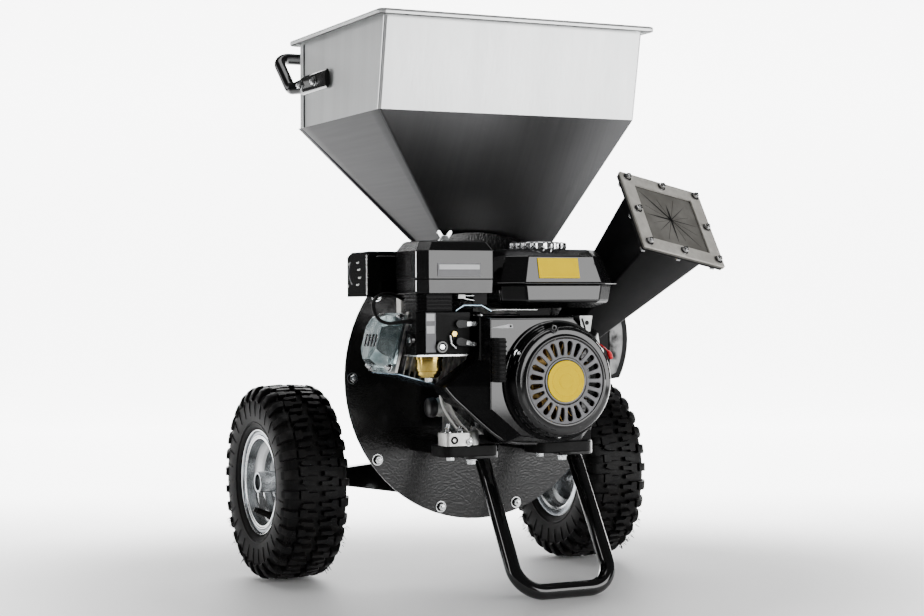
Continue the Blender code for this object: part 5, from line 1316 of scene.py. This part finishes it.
# Chrome lines down the cover's front left corner are painted highlights.
for low, high in ((0.483, 0.5), (0.5045, 0.544)):
    route = [(-0.2209, -0.235, low), (-0.2209, -0.235, high)]
    corner_highlights.append(wire("cleaner_corner_highlight", route, 0.0009, "chrome"))
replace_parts(joined("cleaner_cover", [lid, tray, core, strip, band] + corner_highlights), "air_cleaner_cover")
core_plan = round_front(-0.2157, -0.16, -0.2384, -0.18, 0.0105, 0.002)
rib_plan = round_front(-0.2175, -0.16, -0.2402, -0.18, 0.0117, 0.002)
# The ribbed base under the cover takes the duller copy of the gloss: its dullness is painted shade.
parts = [prism("base_core", core_plan, "z", 0.4522, 0.48, "dim", bevel=0.001)]
for k in range(5):
    z = 0.4548 + k * 0.0056
    parts.append(prism("base_rib", rib_plan, "z", z - 0.0013, z + 0.0013, "dim", bevel=0.0007))
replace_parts(joined("cleaner_base", parts), "air_cleaner_base")
nut_at = Vector((-0.1575, -0.2035, 0.5613))
block("nut_plate", (-0.1875, -0.2135, 0.5608), (-0.1275, -0.1935, 0.5614), "zinc")
EAR_SPREAD, EAR_HALF = 0.76, 0.0017
nut_hub = mm((0.3, 0), (0.3, 8.2), (6, 6.6), (8.5, 5.8), (8.5, 0))
wing = turned("nut_hub", nut_at, UP, nut_hub, 32, "zinc", "cover_nut")
ear = mm((5, 0.5), (12, 8), (16, 12), (16.2, 15), (14.5, 16.8), (11, 16.5), (7.5, 13), (4, 8.8))
outline = [(-0.005, 0.0005)] + ear + [(-u, v) for u, v in ear[:0:-1]]
ear_plan = [(nut_at.x + u * EAR_SPREAD, nut_at.z + v) for u, v in outline]
ear_low, ear_high = nut_at.y - EAR_HALF, nut_at.y + EAR_HALF
ears = prism("nut_ears", ear_plan, "y", ear_low, ear_high, "zinc", "cover_nut", bevel=0.0007)
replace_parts(joined("wing_nut_whole", [wing, ears]), "wing_nut")

# Carburettor, its control cover and float bowl
C0, C1 = Vector((-0.2173, -0.236, 0.3865)), Vector((-0.128, -0.1853, 0.4517))
NOTCH_X, NOTCH_Y, NOTCH_Z = -0.195, -0.2108, 0.4228
whole = round_front(C0.x, C1.x, C0.y, C1.y, 0.0108, 0.002)
notched = whole[:-2] + [(NOTCH_X, C1.y), (NOTCH_X, NOTCH_Y), (C0.x, NOTCH_Y)]
cover = []
# The black cover takes the duller copy of the gloss: its black is its own, its dullness painted shade.
for name, plan, low, high in (
        ("cover_low", whole, C0.z, NOTCH_Z), ("cover_high", notched, NOTCH_Z + 0.0001, C1.z)):
    cover.append(prism(name, plan, "z", low, high, "dim", bevel=0.0012, segments=3, smooth=30.0))
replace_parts(joined("control_cover", cover), "carburettor_cover", "carburettor")
boss = mm((0, 4.6), (0, 9.8), (5, 9.8), (6.2, 8.8), (6.2, 6.2), (3, 5.8))
stud = mm((0.2, 0), (0.2, 5.2), (4.8, 5.2), (6, 4), (6.2, 0))
front_at, side_at = (-0.18, C0.y - 0.0002, 0.3982), (C0.x - 0.0002, -0.2135, 0.409)
jet = [(SEAT, 0), (SEAT, 0.005), (0.0055, 0.0044), (0.0055, 0)]
recess = [(-0.1865, C0.y, 0.3885), (-0.131, C0.y, 0.3885), (-0.131, C0.y, 0.444), (-0.1865, C0.y, 0.449)]
link = [(-0.166, C0.y - 0.004, 0.416), (-0.164, C0.y - 0.004, 0.403), (-0.156, C0.y - 0.0036, 0.396)]
details = [
    front_slab("cover_strip", (-0.2055, -0.189), (0.39, 0.4505), C0.y, 0.0012, "grille", bevel=0.0004),
    front_slab("cover_square_high", (-0.2045, -0.1913), (0.438, 0.4488), C0.y - 0.0012, 0.0004, "white"),
    front_slab("cover_square_low", (-0.2045, -0.1913), (0.4189, 0.4305), C0.y - 0.0012, 0.0004, "white"),
    # A thin dark slab stands in for the recess: painted shade.
    slab("cover_recess_painted_shade", recess, 0.0001, "rubber", lift=0.0001),
    turned("cover_boss", front_at, FORWARD, boss, 40, "gloss", smooth=60.0),
    turned("cover_stud", front_at, FORWARD, stud, 24, "chrome", smooth=60.0),
    turned("side_boss", side_at, (-1, 0, 0), boss, 40, "gloss", smooth=60.0),
    turned("side_stud", side_at, (-1, 0, 0), stud, 24, "chrome", smooth=60.0),
    turned("brass_jet", (-0.159, C0.y, 0.418), FORWARD, jet, 6, "brass", bevel=0.0004),
    tube("chrome_link", link, 0.0014, "chrome"),
    block("bowl_plate", (-0.22, -0.2356, 0.3838), (-0.1338, -0.186, 0.3862), "zinc", bevel=0.0005),
]
joined("control_details", details)
bowl_at = (-0.1875, -0.2072, 0)
bowl_profile = mm((350, 0), (350, 11), (350.8, 14), (353.2, 16.8), (356.6, 18.4), (360, 18.8), (360.8, 20.6),
    (362, 21), (378.6, 21.1), (379.2, 22.6), (383.2, 22.6), (383.6, 0))
bowl = turned("fuel_bowl", bowl_at, UP, bowl_profile, 64, "brass", smooth=30.0)
nut_profile = mm((344, 0), (344, 6.4), (349.9, 6.8), (349.9, 0))
bowl_nut = turned("bowl_nut", bowl_at, UP, nut_profile, 6, "zinc", bevel=0.0005)
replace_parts(joined("fuel_bowl_whole", [bowl, bowl_nut]), "float_bowl")


LEVER_TALL = 0.0065


def lever(name, at, length, body, node, degrees):
    """A lever with two round ends, and a thin sleeve and rivet on its outer half."""
    direction = math.radians(degrees)
    tall = LEVER_TALL
    along = Vector((math.cos(direction), 0, math.sin(direction)))
    outline = []
    for k in range(13):
        t = direction + math.pi / 2 + math.pi * k / 12
        outline.append((at[0] + tall * math.cos(t), at[2] + tall * math.sin(t)))
    for k in range(9):
        t = direction - math.pi / 2 + math.pi * k / 8
        x, z = at[0] + along.x * length, at[2] + along.z * length
        outline.append((x + tall * 0.6 * math.cos(t), z + tall * 0.6 * math.sin(t)))
    bar = prism(name + "_bar", outline, "y", at[1] - 0.006, at[1], "plastic", body, bevel=0.001)
    tip = Vector(at) + along * length
    across = Vector((-along.z, 0, along.x)) * tall * 0.5
    mid = Vector(at) + along * length * 0.45
    section = ((-1, -0.0066), (1, -0.0066), (1, -0.0054), (-1, -0.0054))
    rings = [[p + across * way + Vector((0, y, 0)) for way, y in section] for p in (mid, tip)]
    sleeve = lofted(name + "_sleeve", rings, "zinc", body, bevel=0.0003)
    rivet = [(SEAT, 0), (SEAT, 0.003), (0.0012, 0.0028), (0.0012, 0)]
    end = turned(name + "_tip", (tip.x, at[1] - 0.0066, tip.z), FORWARD, rivet, 20, "zinc", body)
    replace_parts(joined(name, [bar, sleeve, end]), node)


lever("choke_arm", (-0.15, C0.y - 0.0003, 0.433), 0.026, "choke", "choke_lever", 0)
lever("valve_arm", (-0.15, C0.y - 0.0003, 0.406), 0.025, "fuel_valve", "fuel_valve_lever", -10)

# Throttle lever and governor linkage under the tank
post = turned("throttle_post", (-0.1105, -0.23, 0), UP, stub(0.4453, 0.4475, 0.007), 32, "zinc", "throttle")
arm_plan = mm((-116.5, -228), (-110.5, -237), (-60, -270), (-56, -264), (-104.5, -228), (-110.5, -223))
arm = prism("throttle_arm", arm_plan, "z", 0.446, 0.4478, "satin", "throttle", bevel=0.0005)
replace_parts(joined("throttle_whole", [post, arm]), "throttle_lever")
LINK_Y = -0.234
arm_route = [(x, LINK_Y, z) for x, z in mm((-153.5, 453.5), (-139.6, 461.5), (-109, 461.3), (-91.9, 452))]
wire_route = [(-0.0925, LINK_Y, 0.4535), (-0.078, -0.256, 0.4545), (-0.025, -0.26, 0.454)]
plate_low, plate_high = (-0.122, LINK_Y + 0.002, 0.462), (-0.0985, LINK_Y + 0.0035, 0.48)
block_low, block_high = (-0.15, LINK_Y - 0.003, 0.472), (-0.138, LINK_Y + 0.006, 0.4782)
linkage = [
    block("link_plate", plate_low, plate_high, "satin", bevel=0.0004),
    block("link_block", block_low, block_high, "alloy", bevel=0.0008),
    tube("link_rod_high", [(-0.1385, LINK_Y, 0.4765), (-0.1215, LINK_Y + 0.0015, 0.4765)], 0.001, "chrome"),
    tube("link_rod_low", [(-0.145, LINK_Y, 0.473), (-0.1215, LINK_Y + 0.0015, 0.469)], 0.001, "chrome"),
    tube("link_arm", bent(arm_route, 0.004, 4), (0.0011, 0.0018), "blue_zinc"),
    tube("link_wire", wire_route, 0.0009, "chrome"),
]
joined("governor_linkage", linkage)

# Engine bolts through the rails
mount_head = mm((0.4, 0), (0.4, 10), (1.6, 9.8), (1.7, 7.5), (6.5, 7.3), (7.2, 6), (7.2, 0))
mount_nut = mm((0, 0), (0, 9.5), (1.5, 9.5), (1.6, 7.3), (7.5, 7.3), (8, 6.2), (8, 0))
for k in range(4):
    x, y = FOOT_SHIFT - 0.015 + (k % 2 - 0.5) * 0.162, -0.1265 - (k // 2) * 0.0755
    head = turned("mount_head", (x, y, 0.2661), UP, mount_head, 6, "zinc", bevel=0.0004)
    nut = turned("mount_nut", (x, y, 0.2212), (0, 0, -1), mount_nut, 6, "zinc", bevel=0.0004)
    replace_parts(joined("mount_bolt_seen_%d" % (k + 1), [head, nut]), "mount_bolt_%d" % (k + 1))

# Looks of the CAD nodes that stay as they are
KEPT = {
    "powder": "drum_front_plate",
    "satin": "drum_shell drum_rear_plate",
    "curtain": "chute_flap",
    "frame_sheet": "chute_frame",
    "fan": "flywheel_fan",
    "steel": "crankshaft cutter_disc chipper_knife_1 chipper_knife_2 rotor_paddle_1 rotor_paddle_2 "
             "rear_bearing muffler",
}
for look, names in KEPT.items():
    for name in names.split():
        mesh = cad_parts[name].data
        mesh.materials.clear()
        mesh.materials.append(LOOKS[look])

# Floor that sweeps up into a luminous wall, light and camera
VIEW = Vector((0.4384, 0.8988, 0.0))
SIDEWAYS = Vector((0.8988, -0.4384, 0.0))
HALF_SWEEP, WALL_AT, WALL_BEND, WALL_TOP, FLOOR_REACH = 3.5, 5.2, 1.4, 4.0, 9.0


def sweep():
    """The stage: flat under the object, then bent up behind it."""
    bend_at = WALL_AT - WALL_BEND
    run = [(-FLOOR_REACH, 0.0), (bend_at, 0.0)]
    turns = [math.radians(9 * k) for k in range(1, 11)]
    run += [(bend_at + WALL_BEND * math.sin(t), WALL_BEND * (1 - math.cos(t))) for t in turns]
    run.append((WALL_AT, WALL_TOP))
    work = bmesh.new()

    def corner_at(a, b, z=0.0):
        return work.verts.new(VIEW * a + SIDEWAYS * b + Vector((0, 0, z)))

    rows = [[corner_at(a, b, z) for b in (-HALF_SWEEP, HALF_SWEEP)] for a, z in run]
    wide = [corner_at(a, b) for b in (-FLOOR_REACH, FLOOR_REACH) for a in (-FLOOR_REACH, bend_at)]
    for low, high in zip(rows, rows[1:]):
        work.faces.new((low[0], low[1], high[1], high[0]))
    work.faces.new((wide[0], rows[0][0], rows[1][0], wide[1]))
    work.faces.new((rows[0][1], wide[2], wide[3], rows[1][1]))
    return mesh_from("floor", work)


floor_mesh = sweep()
floor_mesh.shade_smooth()
PALE_GLOW = 6.0
pale = Finish("pale_floor", (0.85, 0.85, 0.85), 0.6)
pale.set("Base Color", pale.noise(0.7, 2.0).tint((0.83, 0.83, 0.83), (0.86, 0.86, 0.86)))
depth = pale.axis(0) * VIEW.x + pale.axis(1) * VIEW.y
away = pale.start.node("VectorMath", {"operation": "LENGTH"}, {0: pale.place()}, 1)
# Further back the floor glows into the backdrop; in front it glows more away from the machine, painted light
# that leaves painted shade round the machine.
glow = depth.smooth(0.2, 1.7) * 0.75 + away.smooth(0.5, 1.1) * depth.smooth(-0.7, -0.3) * 0.3
pale.set("Emission Color", glow.tint((0.0, 0.0, 0.0), (1.0, 1.0, 1.0)))
pale.set("Emission Strength", PALE_GLOW)
floor_mesh.materials.append(pale.material)
floor = bpy.data.objects.new("floor", floor_mesh)
bpy.context.scene.collection.objects.link(floor)

world = bpy.data.worlds.new("studio")
bpy.context.scene.world = world
world.use_nodes = True
world.node_tree.nodes["Background"].inputs["Color"].default_value = (1.0, 1.0, 1.0, 1.0)
world.node_tree.nodes["Background"].inputs["Strength"].default_value = 0.1


def softbox(name, at, aim, size, radiance):
    lamp = bpy.data.lights.new(name, "AREA")
    lamp.shape = "RECTANGLE"
    lamp.size, lamp.size_y = size
    lamp.energy = radiance * math.pi * size[0] * size[1]
    holder = bpy.data.objects.new(name, lamp)
    holder.location = at
    holder.rotation_euler = (Vector(aim) - Vector(at)).to_track_quat("-Z", "Y").to_euler()
    bpy.context.scene.collection.objects.link(holder)


# Each light's place, the point it faces, its width and height and its radiance
SOFTBOXES = {
    "front_right": ((1.7, -2.6, 0.88), (0.0, 0.0, 0.88), (2.6, 1.5), 6.5),
    "overhead": ((-0.2, 0.0, 2.9), (0.0, 0.0, 0.4), (1.8, 1.4), 3.5),
    "back_left": ((-1.9, 2.4, 1.5), (0.0, 0.0, 1.5), (1.0, 1.3), 1.7),
    "left_strip": ((-2.5, -0.3, 0.9), (0.0, 0.0, 0.7), (0.35, 1.7), 7.0),
}
for name, settings in SOFTBOXES.items():
    softbox(name, *settings)

# The camera's lens, place, heading, tilt and roll, as solved from the straight edges and circles
LENS, SENSOR = 70.713, 36.0
EYE = (-1.3674, -2.7451 + PLATE_FACE, 0.4592)
YAW, PITCH, TURN = 0.4538, -0.0006, -0.0069
camera = bpy.data.cameras.new("camera")
camera.lens = LENS
camera.sensor_width = SENSOR
eye = bpy.data.objects.new("camera", camera)
forward = Vector((math.sin(YAW) * math.cos(PITCH), math.cos(YAW) * math.cos(PITCH), math.sin(PITCH)))
right = Vector((math.cos(YAW), -math.sin(YAW), 0.0))
above = right.cross(forward)
rolled_right = right * math.cos(TURN) + above * math.sin(TURN)
rolled_above = above * math.cos(TURN) - right * math.sin(TURN)
eye.matrix_world = Matrix((rolled_right, rolled_above, -forward)).transposed().to_4x4()
eye.location = EYE
bpy.context.scene.collection.objects.link(eye)
bpy.context.scene.camera = eye
